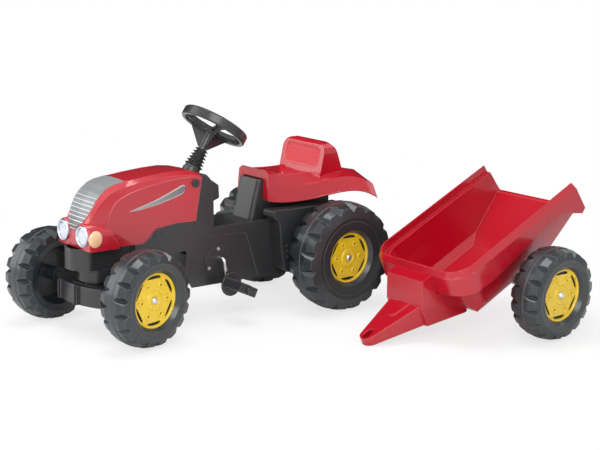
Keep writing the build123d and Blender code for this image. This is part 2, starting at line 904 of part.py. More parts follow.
kingpin_foot = beam_top - 2
with BuildPart() as kingpin:
    with BuildSketch(Plane.XY.offset(kingpin_foot)):
        Circle(kingpin_radius)
    extrude(amount=front_box_bottom + wall + body_gap - kingpin_foot)
    with BuildSketch(Plane.XY.offset(front_box_bottom + wall + body_gap)):
        RegularPolygon(12, 6)
    extrude(amount=6)
finish("kingpin", kingpin, kingpin_place)

with BuildPart() as front_axle_beam:
    # Crescent wall in front, with pairs of ribs.
    with BuildSketch(Plane.XY.offset(beam_bottom)):
        with BuildLine():
            front_arc = ThreePointArc((-118, -14), (0, -57), (118, -14))
            Line(front_arc @ 1, (118, 14))
            Line((118, 14), (100, 14))
            back_arc = ThreePointArc((100, 0), (0, -43), (-100, 0))
            Line((100, 14), back_arc @ 0)
            Line(back_arc @ 1, (-100, 14))
            Line((-100, 14), (-118, 14))
            Line((-118, 14), front_arc @ 0)
        make_face()
        for rib_x, rib_y in ((0, -58), (70, -43), (-70, -43)):
            with Locations((rib_x - 4, rib_y), (rib_x + 4, rib_y)):
                Rectangle(3, 10)
    extrude(amount=beam_top - beam_bottom)
    # Deck under the turntable and the tongue that reaches back to the steering shaft.
    with BuildSketch(Plane.XY.offset(beam_top - 6)):
        with BuildLine():
            Polyline((-104, -6), (-60, -38), (60, -38), (104, -6), (104, 14), (-104, 14), close=True)
        make_face()
        Circle(30)
    extrude(amount=6)
    with BuildSketch(Plane.XY.offset(beam_top)):
        Circle(30)
        with BuildLine():
            Polyline((-20, 20), (-17, fork_reach + 24), (17, fork_reach + 24), (20, 20), close=True)
        make_face()
        with Locations((0, fork_reach)):
            Rectangle(2 * (steering_shaft_radius + fork_play), fork_length, mode=Mode.SUBTRACT)
    extrude(amount=tongue_top - beam_top)
    # The axle's tunnel.
    with BuildSketch(Plane.YZ):
        with Locations((0, small_tyre_radius)):
            Rectangle(24, 2 * (beam_top - small_tyre_radius))
    extrude(amount=118, both=True)
    with BuildSketch(Plane.YZ):
        with Locations((0, small_tyre_radius)):
            Circle(axle_radius)
    extrude(amount=130, both=True, mode=Mode.SUBTRACT)
    with BuildSketch(Plane.XY.offset(kingpin_foot)):
        Circle(kingpin_radius)
    extrude(amount=40, mode=Mode.SUBTRACT)
finish("front_axle_beam", front_axle_beam, kingpin_place)


def axle_rod(half_length):
    """A plain steel axle along X."""
    with BuildPart() as rod:
        with BuildSketch(Plane.YZ):
            Circle(axle_radius)
        extrude(amount=half_length, both=True)
    return rod


finish("front_axle_rod", axle_rod(front_track / 2 + small_face - 1), front_axle_place)
finish("rear_axle_rod", axle_rod(rear_track / 2 + large_face - 1), rear_axle_place)
finish("trailer_axle_rod", axle_rod(trailer_track / 2 + small_face - 1), trailer)

# ---------------------------------------------------------------- cranks and chain


def pitch_radius(teeth):
    return chain_pitch / (2 * sin(pi / teeth))


def sprocket(teeth):
    """A flat toothed wheel for a roller chain, bored for its shaft."""
    ring = pitch_radius(teeth)
    with BuildPart() as wheel:
        with BuildSketch(Plane.YZ.offset(chain_plane - 1.5)):
            Circle(ring - 4)
            with PolarLocations(0, teeth):
                with BuildLine():
                    Polyline(
                        (ring - 5, -4), (ring + 2.5, -1.2), (ring + 2.5, 1.2), (ring - 5, 4), close=True
                    )
                make_face()
            Circle(axle_radius, mode=Mode.SUBTRACT)
        extrude(amount=3)
    return wheel


crank_place = tractor * Location((0, crank_y, crank_z))
finish("chainring", sprocket(chainring_teeth), crank_place)
finish("rear_sprocket", sprocket(sprocket_teeth), rear_axle_place)

with BuildPart() as chain:
    with BuildSketch(Plane.YZ.offset(chain_plane - 3)):
        for grow, kept in ((5.2, Mode.ADD), (3.0, Mode.SUBTRACT)):
            with BuildSketch(mode=kept):
                with Locations((crank_y, crank_z)):
                    Circle(pitch_radius(chainring_teeth) + grow)
                with Locations((0, large_tyre_radius)):
                    Circle(pitch_radius(sprocket_teeth) + grow)
                make_hull()
    extrude(amount=6)
finish("chain", chain, tractor)

with BuildPart() as crankshaft:
    with BuildLine():
        spindle_end = crank_reach + pedal_length + 10
        FilletPolyline(
            (spindle_end, 0, -crank_length),
            (crank_reach, 0, -crank_length),
            (crank_reach, 0, 0),
            (-crank_reach, 0, 0),
            (-crank_reach, 0, crank_length),
            (-spindle_end, 0, crank_length),
            radius=9,
        )
    with BuildSketch(Plane((spindle_end, 0, -crank_length), z_dir=(-1, 0, 0))):
        Circle(axle_radius)
    sweep()
turned_crank = crank_place * Location((0, 0, 0), (crank_angle, 0, 0))
finish("crankshaft", crankshaft, turned_crank)

with BuildPart() as pedal:
    with BuildSketch(Plane.YZ.offset(crank_reach + 12)):
        Circle(28)
    extrude(amount=4)
    with BuildSketch(Plane.YZ.offset(crank_reach + 16)):
        RectangleRounded(52, 22, 3)
    extrude(amount=pedal_length - 10)
    with BuildSketch(Plane.XY.offset(11)):
        for step in range(5):
            with Locations((crank_reach + 24 + 8 * step, 0)):
                Rectangle(4, 46)
    extrude(amount=1.5)
    with BuildSketch(Plane.YZ.offset(crank_reach)):
        Circle(axle_radius + running_gap)
    extrude(amount=2 * pedal_length, mode=Mode.SUBTRACT)
for side, suffix in ((1, "left"), (-1, "right")):
    turn = 0 if side > 0 else 180
    pedal_place = turned_crank * Location((0, 0, -side * crank_length), (0, 0, turn))
    tilt = Location((0, 0, 0), (side * (-pedal_tilt - crank_angle), 0, 0))
    finish(f"pedal_{suffix}", pedal, pedal_place * tilt)

for side, suffix in ((1, "left"), (-1, "right")):
    with BuildPart() as crank_disc:
        outer_face = side * (chassis_half_width + 1)
        with BuildSketch(Plane((outer_face, disc_y, disc_z), x_dir=(0, 1, 0), z_dir=(-side, 0, 0))):
            Circle(crank_disc_radius)
        extrude(amount=wall + 4)
        with BuildSketch(Plane((outer_face, disc_y, disc_z), x_dir=(0, 1, 0), z_dir=(-side, 0, 0))):
            with PolarLocations(crank_disc_radius - 7, 12):
                Circle(2)
        extrude(amount=3, mode=Mode.SUBTRACT)
        with BuildSketch(Plane.YZ):
            with Locations((crank_y, crank_z)):
                Circle(axle_radius + running_gap)
        extrude(amount=90, both=True, mode=Mode.SUBTRACT)
    finish(f"crank_disc_{suffix}", crank_disc, tractor)

with BuildPart() as disc_screws:
    for side in (1, -1):
        outer_face = side * (chassis_half_width + 1)
        with BuildSketch(Plane((outer_face, disc_y, disc_z), x_dir=(0, 1, 0), z_dir=(side, 0, 0))):
            with PolarLocations(crank_disc_radius - 7, 2, start_angle=90, angular_range=120, endpoint=True):
                Circle(4)
        extrude(amount=1.5)
finish("disc_screws", disc_screws, tractor)

# ---------------------------------------------------------------- seat

# Stations of the seat moulding, front to back: y, pan height at the middle, shoulder x and z,
# mid-flank x and z, and the lower edge's x and z. Behind the skirt the flank flares into the mudguard.
seat_stations = (
    (seat_front_y, 333, 57, 327, 60, 296, 61, 264),
    (-105, 321, 59, 324, 67, 294, 72, 258),
    (-60, 316, 61, 322, 76, 296, 84, 260),
    (-10, 316, 63, 323, 88, 303, 100, 268),
    (40, 317, 65, 325, 103, 312, 119, 278),
    (85, 318, 68, 324, 117, 309, 137, 277),
    (125, 314, 70, 312, 128, 292, 148, 259),
)
with BuildPart() as seat_half:
    for y, pan, shoulder, shoulder_z, flank, flank_z, edge, edge_z in seat_stations:
        with BuildSketch(Plane.XZ.offset(-y)):
            with BuildLine():
                Polyline(
                    (0, pan),
                    (shoulder - 14, pan + 3),
                    (shoulder, shoulder_z),
                    (flank, flank_z),
                    (edge, edge_z),
                    (edge - seat_wall, edge_z),
                    (flank - seat_wall, flank_z - 1),
                    (shoulder - seat_wall, shoulder_z - seat_wall),
                    (shoulder - 15, pan + 3 - seat_wall),
                    (0, pan - seat_wall),
                    close=True,
                )
            make_face()
    loft()

with BuildPart() as backrest_core:
    with BuildSketch(Plane.YZ):
        with BuildLine():
            Polyline(
                (1, 300),
                (1, 330),
                (12, 386),
                (16, backrest_top - seat_wall),
                (28, backrest_top - seat_wall),
                (39, 378),
                (62, 322),
                (64, 300),
                close=True,
            )
        make_face()
    extrude(amount=backrest_half_width - seat_wall, both=True)
    with BuildSketch(Plane.XZ.offset(-100)):
        with Locations((0, 340)):
            RectangleRounded(2 * (backrest_half_width - seat_wall), 2 * (backrest_top - seat_wall - 340), 24)
    extrude(amount=120, mode=Mode.INTERSECT)

# Backrest: leaning front panel, rounded top and sloping back.
with BuildPart() as backrest:
    with BuildSketch(Plane.YZ):
        with BuildLine():
            Polyline(
                (-8, 308),
                (-4, 330),
                (8, 388),
                (14, backrest_top),
                (30, backrest_top),
                (43, 380),
                (66, 322),
                (69, 308),
                close=True,
            )
        make_face()
    extrude(amount=backrest_half_width, both=True)
    with BuildSketch(Plane.XZ.offset(-100)):
        with Locations((0, 340)):
            RectangleRounded(2 * backrest_half_width, 2 * (backrest_top - 340), 28)
    extrude(amount=120, mode=Mode.INTERSECT)
    with BuildSketch(Plane((0, 1.5, 358), x_dir=(1, 0, 0), z_dir=(0, -58, 12))):
        RectangleRounded(2 * backrest_half_width - 26, 48, 14)
    extrude(amount=-1.5, mode=Mode.SUBTRACT)

with BuildPart() as seat:
    add(seat_half.part)
    add(mirror(seat_half.part, about=Plane.YZ))
    # Front skirt with the notch that the pedestal comes through.
    with BuildSketch(Plane.XZ.offset(-seat_front_y)):
        with BuildLine():
            Polyline((-57, 327), (-43, 334), (43, 334), (57, 327), (61, 264), (-61, 264), close=True)
        make_face()
    extrude(amount=-seat_wall)
    add(backrest.part)
    add(backrest_core.part, mode=Mode.SUBTRACT)
    # Seated flat on the pedestal.
    with BuildSketch(Plane.XY.offset(pedestal_top)):
        Rectangle(2 * pedestal_half_width + 2, 150)
    extrude(amount=-20, mode=Mode.SUBTRACT)
    with BuildSketch(Plane.XZ.offset(-seat_front_y - 10)):
        with Locations((0, pedestal_top - 30)):
            Rectangle(2 * pedestal_half_width + 2, 64 + 2 * body_gap)
    extrude(amount=20, mode=Mode.SUBTRACT)
    with BuildSketch(Plane.XY.offset(pedestal_top)):
        with Locations(*seat_bolt_places):
            Circle(seat_bolt_radius)
    extrude(amount=10, mode=Mode.SUBTRACT)
finish("seat", seat, tractor)

with BuildPart() as seat_bolts:
    with BuildSketch(Plane.XY.offset(pedestal_top - wall)):
        with Locations(*seat_bolt_places):
            Circle(seat_bolt_radius)
    extrude(amount=9)
finish("seat_bolts", seat_bolts, tractor)

# ---------------------------------------------------------------- hitch

with BuildPart() as hitch_bracket:
    with BuildSketch(Plane.XZ.offset(-hull_rear)):
        with Locations((0, hitch_plate_top)):
            RectangleRounded(64, 50, 5)
    extrude(amount=-5)
    with BuildSketch(Plane.XY.offset(hitch_plate_top - 6)):
        with Locations((0, hull_rear + 5 + hitch_reach / 2)):
            Rectangle(46, hitch_reach)
        with Locations((0, hull_rear + 5 + hitch_reach)):
            Circle(23)
            Circle(hitch_shank_radius, mode=Mode.SUBTRACT)
    extrude(amount=6)
finish("hitch_bracket", hitch_bracket, tractor)

with BuildPart() as hitch_pin:
    with BuildSketch(Plane.XY.offset(hitch_plate_top + 1)):
        Circle(hitch_pin_radius)
    extrude(amount=hitch_pin_length - 1)
    chamfer(hitch_pin.faces().sort_by(Axis.Z)[-1].edges(), 2)
    # The slimmer shank goes through the plate to a pressed head below.
    with BuildSketch(Plane.XY.offset(hitch_plate_top - 6)):
        Circle(hitch_shank_radius)
    extrude(amount=7)
    with BuildSketch(Plane.XY.offset(hitch_plate_top - 10)):
        Circle(11)
    extrude(amount=4)
finish("hitch_pin", hitch_pin, tractor * Location((0, hull_rear + 5 + hitch_reach, 0)))

# ---------------------------------------------------------------- trailer tub


def tub_form(inset, overrun):
    """The tapered form of the tub, shrunk by a wall; overrun opens it past its own ends."""
    with BuildPart() as form:
        for y, half in ((-tub_front - 8, tub_front_half_width), (post_foot[0] + 12, tub_rear_half_width)):
            top = half - rim_ledge - inset
            with BuildSketch(Plane.XZ.offset(-y)):
                with BuildLine():
                    Polyline(
                        (-top, tub_rim + overrun),
                        (-top + 4, 100),
                        (-top + 16, 38),
                        (-top + 32, tub_floor + inset),
                        (top - 32, tub_floor + inset),
                        (top - 16, 38),
                        (top - 4, 100),
                        (top, tub_rim + overrun),
                        close=True,
                    )
                make_face()
        loft(ruled=True)
        with BuildSketch(Plane.YZ):
            with BuildLine():
                Polyline(
                    (rim_ledge + inset - tub_front, tub_rim + overrun),
                    (rim_ledge + inset + 28 - tub_front, 46),
                    (rim_ledge + inset + 48 - tub_front, tub_floor + inset),
                    (60, tub_floor + inset),
                    (sill_y, sill_height + inset),
                    (post_foot[0] + overrun, sill_height + inset),
                    (post_foot[0] + overrun, tub_rim + overrun),
                    close=True,
                )
            make_face()
        extrude(amount=200, both=True, mode=Mode.INTERSECT)
        front_edges = form.faces().sort_by(Axis.Y)[0].edges()
        upright = front_edges.filter_by(lambda edge: abs(edge.tangent_at(0.5).Z) > 0.5)
        fillet(upright, radius=inner_corner_radius - inset)
    return form


def band_prism(inset, low, high, tail, draft=0):
    """The plan of the rim band as a prism, with its front corners rounded."""
    with BuildPart() as prism:
        with BuildSketch(Plane.XY.offset(low)) as plan:
            with BuildLine():
                Polyline(
                    (inset - tub_front_half_width, inset - tub_front),
                    (tub_front_half_width - inset, inset - tub_front),
                    (tub_rear_half_width - inset, tail),
                    (inset - tub_rear_half_width, tail),
                    close=True,
                )
            make_face()
            fillet(plan.vertices().group_by(Axis.Y)[0], radius=outer_corner_radius - inset)
        extrude(amount=high - low, taper=draft)
    return prism


ledge_height = tub_rim - ledge_drop
band_shoulder = tub_rim - shoulder_drop
tub_outer = tub_form(0, 0)
tub_inner = tub_form(tub_wall, 20)
with BuildPart() as trailer_tub:
    # Deep rim band under a sloping shoulder: arched over the wheels and hooked down at the tail.
    add(band_prism(0, band_hem - 40, band_shoulder, post_foot[0]).part)
    add(band_prism(0, band_shoulder, tub_rim, post_foot[0], shoulder_draft).part)
    with BuildSketch(Plane.YZ):
        with BuildLine():
            Polyline(
                (-tub_front - 5, band_hem),
                (-171, 101),
                (-113, 98),
                (-51, 104),
                (32, 110),
                (99, 119),
                (147, 116),
                (185, 92),
                (206, 79),
                post_foot,
                (tub_rear, tub_rim),
                (-tub_front - 5, tub_rim),
                close=True,
            )
        make_face()
    extrude(amount=200, both=True, mode=Mode.INTERSECT)
    add(band_prism(tub_wall, band_hem - 50, ledge_height - tub_wall, tub_rear - tub_wall).part, mode=Mode.SUBTRACT)
    add(tub_outer.part)
    add(tub_inner.part, mode=Mode.SUBTRACT)
    # A ledge runs round inside, below the lip of the rim.
    add(band_prism(rim_lip, ledge_height, tub_rim + 1, post_foot[0] + 5).part, mode=Mode.SUBTRACT)
    # The side walls end on the same slant as the posts.
    with BuildSketch(Plane.YZ):
        with BuildLine():
            Polyline(
                (tub_rear, tub_rim),
                post_foot,
                (post_foot[0] + 30, post_foot[1] - 40),
                (post_foot[0] + 30, tub_rim + 10),
                (tub_rear, tub_rim + 10),
                close=True,
            )
        make_face()
    extrude(amount=200, both=True, mode=Mode.SUBTRACT)
finish("trailer_tub", trailer_tub, trailer)

pillar_front = -262.0
keel_rear = -139.0

# Hollow drawbar: a triangular beam from the eye to a pillar and keel under the tub's front.
with BuildPart() as trailer_drawbar:
    with BuildSketch(Plane.XY):
        with Locations((0, -eye_reach)):
            Circle(eye_radius)
        with Locations((0, pillar_front)):
            Rectangle(2 * beam_root_half_width, 2)
        make_hull()
        with Locations((0, (pillar_front + keel_rear) / 2)):
            Rectangle(2 * keel_half_width, keel_rear - pillar_front)
    extrude(amount=tub_rim)
    with BuildSketch(Plane.YZ):
        with BuildLine():
            Polyline(
                (-tip_reach - 1, eye_bottom),
                (-tip_reach - 1, eye_top),
                (pillar_front, eye_top + 4),
                (pillar_front + 24, 150),
                (-tub_front, 150),
                (-tub_front, band_hem - 8),
                (-100, band_hem - 8),
                (-100, tub_floor),
                (-112, 4),
                (-146, 4),
                (pillar_front, 44),
                close=True,
            )
        make_face()
    extrude(amount=90, both=True, mode=Mode.INTERSECT)
    add(tub_outer.part, mode=Mode.SUBTRACT)
    # Hollowed from below, with the eye kept solid.
    with BuildSketch(Plane.XY):
        with Locations((0, -eye_reach + 40)):
            Circle(eye_radius - 4)
        with Locations((0, pillar_front)):
            Rectangle(2 * (beam_root_half_width - tub_wall), 2)
        make_hull()
        with Locations((0, (pillar_front + keel_rear) / 2)):
            Rectangle(2 * (keel_half_width - tub_wall), keel_rear - pillar_front - 2 * tub_wall)
    extrude(amount=eye_top - tub_wall, mode=Mode.SUBTRACT)
    # Raised tongue along the root of the beam.
    with BuildSketch(Plane.XY.offset(eye_top)):
        with Locations((0, pillar_front - 38)):
            Circle(13)
        with Locations((0, pillar_front + 1)):
            Rectangle(36, 2)
        make_hull()
    extrude(amount=6)
    with BuildSketch(Plane.XY):
        with Locations((0, -eye_reach)):
            SlotOverall(slot_length, 2 * slot_radius, rotation=90)
    extrude(amount=tub_rim, mode=Mode.SUBTRACT)
finish("trailer_drawbar", trailer_drawbar, trailer)

with BuildPart() as trailer_axle_blocks:
    for side in (1, -1):
        with BuildSketch(Plane.YZ.offset(side * 48)):
            with BuildLine():
                Polyline((-18, tub_floor), (-12, -12), (12, -12), (18, tub_floor), close=True)
            make_face()
            Circle(axle_radius + running_gap, mode=Mode.SUBTRACT)
        extrude(amount=side * 16)
finish("trailer_axle_blocks", trailer_axle_blocks, trailer)

for name, piece in pieces.items():
    export_step(piece.part, f"parts/{name}.step")
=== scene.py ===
import json
import math

import bmesh
import bpy
from mathutils import Matrix, Vector
from mathutils.bvhtree import BVHTree


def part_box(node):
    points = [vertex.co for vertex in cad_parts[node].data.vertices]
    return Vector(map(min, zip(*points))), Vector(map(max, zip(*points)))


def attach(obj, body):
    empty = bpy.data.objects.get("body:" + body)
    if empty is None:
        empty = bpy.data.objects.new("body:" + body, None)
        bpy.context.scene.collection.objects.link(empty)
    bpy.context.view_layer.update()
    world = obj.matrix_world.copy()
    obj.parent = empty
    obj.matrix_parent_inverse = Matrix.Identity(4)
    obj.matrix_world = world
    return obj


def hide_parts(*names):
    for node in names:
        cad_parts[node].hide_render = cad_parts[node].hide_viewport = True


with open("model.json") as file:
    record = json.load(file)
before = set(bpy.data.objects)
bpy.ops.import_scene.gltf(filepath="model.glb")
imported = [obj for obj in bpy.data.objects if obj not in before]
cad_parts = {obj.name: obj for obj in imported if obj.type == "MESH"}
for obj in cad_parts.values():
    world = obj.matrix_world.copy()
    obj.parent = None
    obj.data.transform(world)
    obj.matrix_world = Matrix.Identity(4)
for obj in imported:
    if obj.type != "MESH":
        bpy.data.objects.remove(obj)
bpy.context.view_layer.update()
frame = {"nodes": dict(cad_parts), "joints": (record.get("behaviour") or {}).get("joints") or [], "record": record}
print("frame loaded:", len(frame["nodes"]), "nodes")

bodyOf = {node: body for body, nodes in frame["record"]["behaviour"]["bodies"].items() for node in nodes}
slotOf = {part["node"]: part["material_slot"] for part in frame["record"]["subparts"]}
mm = 0.001
sides = ((1, "left"), (-1, "right"))

# Rear axle centre on the floor: the tractor is measured from here
rodLow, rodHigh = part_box("rear_axle_rod")
tractorX = (rodLow.x + rodHigh.x) / 2
tractorY = (rodLow.y + rodHigh.y) / 2


def fromTractor(x, y, z):  # millimetres from the rear axle's floor point to scene metres
    return Vector((tractorX + x * mm, tractorY + y * mm, z * mm))


# Finishes: edge is a rounding in millimetres; the last two entries are the colour of the highlight painted along
# edges and how strongly it is painted

redFinish = {
    "colour": (0.52, 0.003, 0.018), "shade": (0.44, 0.002, 0.013), "rough": 0.2, "grain": 0.012,
    "edge": 1.4, "edgeHighlight": (0.85, 0.22, 0.22), "edgeHighlightShare": 0.75,
}
blackFinish = {
    "colour": (0.031, 0.032, 0.034), "shade": (0.022, 0.023, 0.025), "rough": 0.34, "grain": 0.05,
    "edge": 1.4, "edgeHighlight": (0.2, 0.21, 0.22), "edgeHighlightShare": 0.8,
}
tyreFinish = {
    "colour": (0.028, 0.033, 0.037), "shade": (0.018, 0.022, 0.025), "rough": 0.33, "grain": 0.06,
    "edge": 1.6, "edgeHighlight": (0.19, 0.21, 0.22), "edgeHighlightShare": 0.8,
}
yellowFinish = {
    "colour": (0.86, 0.60, 0.02), "shade": (0.76, 0.50, 0.012), "rough": 0.27, "grain": 0.01,
    "edge": 0.9, "edgeHighlight": (1.0, 0.86, 0.25), "edgeHighlightShare": 0.5,
}
nylonFinish = {
    "colour": (0.04, 0.04, 0.042), "shade": (0.03, 0.03, 0.032), "rough": 0.45, "grain": 0.03,
    "edge": 0.5, "edgeHighlight": (0.1, 0.1, 0.1), "edgeHighlightShare": 0.5,
}


def addNode(tree, kind, **settings):
    node = tree.nodes.new(kind)
    for key, value in settings.items():
        setattr(node, key, value)
    return node


def startMaterial(name):
    material = bpy.data.materials.new(name)
    material.use_nodes = True
    return material, material.node_tree, material.node_tree.nodes["Principled BSDF"]


def softenEdges(tree, shader, edge, bump=None):  # rounds the shading of moulded edges
    rounding = addNode(tree, "ShaderNodeBevel", samples=6)
    rounding.inputs["Radius"].default_value = edge * mm
    last = rounding
    if bump:
        tree.links.new(rounding.outputs["Normal"], bump.inputs["Normal"])
        last = bump
    tree.links.new(last.outputs["Normal"], shader.inputs["Normal"])
    return rounding


# Agreement of the rounded normal with the flat one, where the painted edge highlight starts and where it is full
edgeHighlightSpan = {"starts": 0.99, "full": 0.82}


def paintEdgeHighlight(tree, rounding, plain, edgeHighlight, share):  # painted highlight: edges are painted paler than the flats, standing in for the light they catch
    form = addNode(tree, "ShaderNodeNewGeometry")
    agree = addNode(tree, "ShaderNodeVectorMath", operation="DOT_PRODUCT")
    highlightShare = addNode(tree, "ShaderNodeMapRange")
    highlightShare.inputs["From Min"].default_value = edgeHighlightSpan["starts"]
    highlightShare.inputs["From Max"].default_value = edgeHighlightSpan["full"]
    highlightShare.inputs["To Max"].default_value = share
    edgeHighlighted = addNode(tree, "ShaderNodeMix", data_type="RGBA")
    edgeHighlighted.inputs["B"].default_value = (*edgeHighlight, 1)
    tree.links.new(form.outputs["True Normal"], agree.inputs[0])
    tree.links.new(rounding.outputs["Normal"], agree.inputs[1])
    tree.links.new(agree.outputs["Value"], highlightShare.inputs["Value"])
    tree.links.new(highlightShare.outputs["Result"], edgeHighlighted.inputs["Factor"])
    tree.links.new(plain, edgeHighlighted.inputs["A"])
    return edgeHighlighted.outputs["Result"]


plasticSkin = {
    "cloudScale": 9, "glossier": 0.05, "duller": 0.06, "grainScale": 1400, "grainDepth": 0.4,
    "coatRough": 0.06,
}


def mouldedPlastic(name, finish, coat=0.0):
    material, tree, shader = startMaterial(name)
    place = addNode(tree, "ShaderNodeTexCoord")
    cloud = addNode(tree, "ShaderNodeTexNoise")
    cloud.inputs["Scale"].default_value = plasticSkin["cloudScale"]
    cloud.inputs["Detail"].default_value = 4
    tint = addNode(tree, "ShaderNodeMix", data_type="RGBA")
    tint.inputs["A"].default_value = (*finish["shade"], 1)
    tint.inputs["B"].default_value = (*finish["colour"], 1)
    gloss = addNode(tree, "ShaderNodeMapRange")
    gloss.inputs["To Min"].default_value = finish["rough"] - plasticSkin["glossier"]
    gloss.inputs["To Max"].default_value = finish["rough"] + plasticSkin["duller"]
    grain = addNode(tree, "ShaderNodeTexNoise")
    grain.inputs["Scale"].default_value = plasticSkin["grainScale"]
    grain.inputs["Detail"].default_value = 2
    bump = addNode(tree, "ShaderNodeBump")
    bump.inputs["Strength"].default_value = finish["grain"]
    bump.inputs["Distance"].default_value = plasticSkin["grainDepth"] * mm
    for texture in (cloud, grain):
        tree.links.new(place.outputs["Object"], texture.inputs["Vector"])
    tree.links.new(cloud.outputs["Fac"], tint.inputs["Factor"])
    tree.links.new(cloud.outputs["Fac"], gloss.inputs["Value"])
    tree.links.new(gloss.outputs["Result"], shader.inputs["Roughness"])
    tree.links.new(grain.outputs["Fac"], bump.inputs["Height"])
    rounding = softenEdges(tree, shader, finish["edge"], bump)
    # Edges painted paler: a painted highlight
    edgeHighlighted = paintEdgeHighlight(tree, rounding, tint.outputs["Result"], finish["edgeHighlight"], finish["edgeHighlightShare"])
    tree.links.new(edgeHighlighted, shader.inputs["Base Color"])
    if coat:
        shader.inputs["Coat Weight"].default_value = coat
        shader.inputs["Coat Roughness"].default_value = plasticSkin["coatRough"]
    return material


steelSkin = {"streakScale": 260, "glossier": 0.08, "duller": 0.1, "edge": 0.4}


def drawnSteel(name, colour, rough):
    material, tree, shader = startMaterial(name)
    place = addNode(tree, "ShaderNodeTexCoord")
    streak = addNode(tree, "ShaderNodeTexNoise")
    streak.inputs["Scale"].default_value = steelSkin["streakScale"]
    streak.inputs["Detail"].default_value = 3
    gloss = addNode(tree, "ShaderNodeMapRange")
    gloss.inputs["To Min"].default_value = rough - steelSkin["glossier"]
    gloss.inputs["To Max"].default_value = rough + steelSkin["duller"]
    tree.links.new(place.outputs["Object"], streak.inputs["Vector"])
    tree.links.new(streak.outputs["Fac"], gloss.inputs["Value"])
    tree.links.new(gloss.outputs["Result"], shader.inputs["Roughness"])
    shader.inputs["Base Color"].default_value = (*colour, 1)
    shader.inputs["Metallic"].default_value = 1
    softenEdges(tree, shader, steelSkin["edge"])
    return material


grilleFilm = {
    "firstBar": 243.0, "pitch": 8.5, "bars": 9, "barHeight": 1.4, "fadeFrom": 240.0, "fadeTo": 350.0,
    "grey": (0.11, 0.115, 0.12), "pale": (0.40, 0.41, 0.42), "bar": (0.72, 0.73, 0.74),
    "metal": 0.35, "rough": 0.32, "edge": 0.5,
}


def printedGrille():
    material, tree, shader = startMaterial("grilleSilver")
    place = addNode(tree, "ShaderNodeTexCoord")
    split = addNode(tree, "ShaderNodeSeparateXYZ")
    tree.links.new(place.outputs["Object"], split.inputs["Vector"])
    # A saw tooth up the plate: a bar is where it is near zero, below the last bar
    step = addNode(tree, "ShaderNodeMath", operation="SUBTRACT")
    step.inputs[1].default_value = grilleFilm["firstBar"] * mm
    ratio = addNode(tree, "ShaderNodeMath", operation="DIVIDE")
    ratio.inputs[1].default_value = grilleFilm["pitch"] * mm
    saw = addNode(tree, "ShaderNodeMath", operation="PINGPONG")
    saw.inputs[1].default_value = 0.5
    bar = addNode(tree, "ShaderNodeMath", operation="LESS_THAN")
    bar.inputs[1].default_value = 0.5 * grilleFilm["barHeight"] / grilleFilm["pitch"]
    top = grilleFilm["firstBar"] + grilleFilm["pitch"] * (grilleFilm["bars"] - 0.5)
    below = addNode(tree, "ShaderNodeMath", operation="LESS_THAN")
    below.inputs[1].default_value = top * mm
    both = addNode(tree, "ShaderNodeMath", operation="MULTIPLY")
    tree.links.new(split.outputs["Z"], step.inputs[0])
    tree.links.new(step.outputs[0], ratio.inputs[0])
    tree.links.new(ratio.outputs[0], saw.inputs[0])
    tree.links.new(saw.outputs[0], bar.inputs[0])
    tree.links.new(split.outputs["Z"], below.inputs[0])
    tree.links.new(bar.outputs[0], both.inputs[0])
    tree.links.new(below.outputs[0], both.inputs[1])
    # Silver that fades from grey at the foot to pale at the crown
    fade = addNode(tree, "ShaderNodeMapRange")
    fade.inputs["From Min"].default_value = grilleFilm["fadeFrom"] * mm
    fade.inputs["From Max"].default_value = grilleFilm["fadeTo"] * mm
    silver = addNode(tree, "ShaderNodeMix", data_type="RGBA")
    silver.inputs["A"].default_value = (*grilleFilm["grey"], 1)
    silver.inputs["B"].default_value = (*grilleFilm["pale"], 1)
    lines = addNode(tree, "ShaderNodeMix", data_type="RGBA")
    lines.inputs["B"].default_value = (*grilleFilm["bar"], 1)
    tree.links.new(split.outputs["Z"], fade.inputs["Value"])
    tree.links.new(fade.outputs["Result"], silver.inputs["Factor"])
    tree.links.new(both.outputs[0], lines.inputs["Factor"])
    tree.links.new(silver.outputs["Result"], lines.inputs["A"])
    tree.links.new(lines.outputs["Result"], shader.inputs["Base Color"])
    shader.inputs["Metallic"].default_value = grilleFilm["metal"]
    shader.inputs["Roughness"].default_value = grilleFilm["rough"]
    softenEdges(tree, shader, grilleFilm["edge"])
    return material


lampFacets = {"scale": 190, "strength": 0.25, "depth": 0.5, "edge": 0.6, "rough": 0.15, "coat": 0.6}


def lampPlastic(name, colour, facetColour):  # small cut facets all over the lens
    material, tree, shader = startMaterial(name)
    place = addNode(tree, "ShaderNodeTexCoord")
    facets = addNode(tree, "ShaderNodeTexVoronoi")
    facets.inputs["Scale"].default_value = lampFacets["scale"]
    tint = addNode(tree, "ShaderNodeMix", data_type="RGBA")
    tint.inputs["A"].default_value = (*facetColour, 1)
    tint.inputs["B"].default_value = (*colour, 1)
    bump = addNode(tree, "ShaderNodeBump")
    bump.inputs["Strength"].default_value = lampFacets["strength"]
    bump.inputs["Distance"].default_value = lampFacets["depth"] * mm
    tree.links.new(place.outputs["Object"], facets.inputs["Vector"])
    tree.links.new(facets.outputs["Distance"], bump.inputs["Height"])
    tree.links.new(facets.outputs["Distance"], tint.inputs["Factor"])
    tree.links.new(tint.outputs["Result"], shader.inputs["Base Color"])
    softenEdges(tree, shader, lampFacets["edge"], bump)
    shader.inputs["Roughness"].default_value = lampFacets["rough"]
    shader.inputs["Coat Weight"].default_value = lampFacets["coat"]
    return material


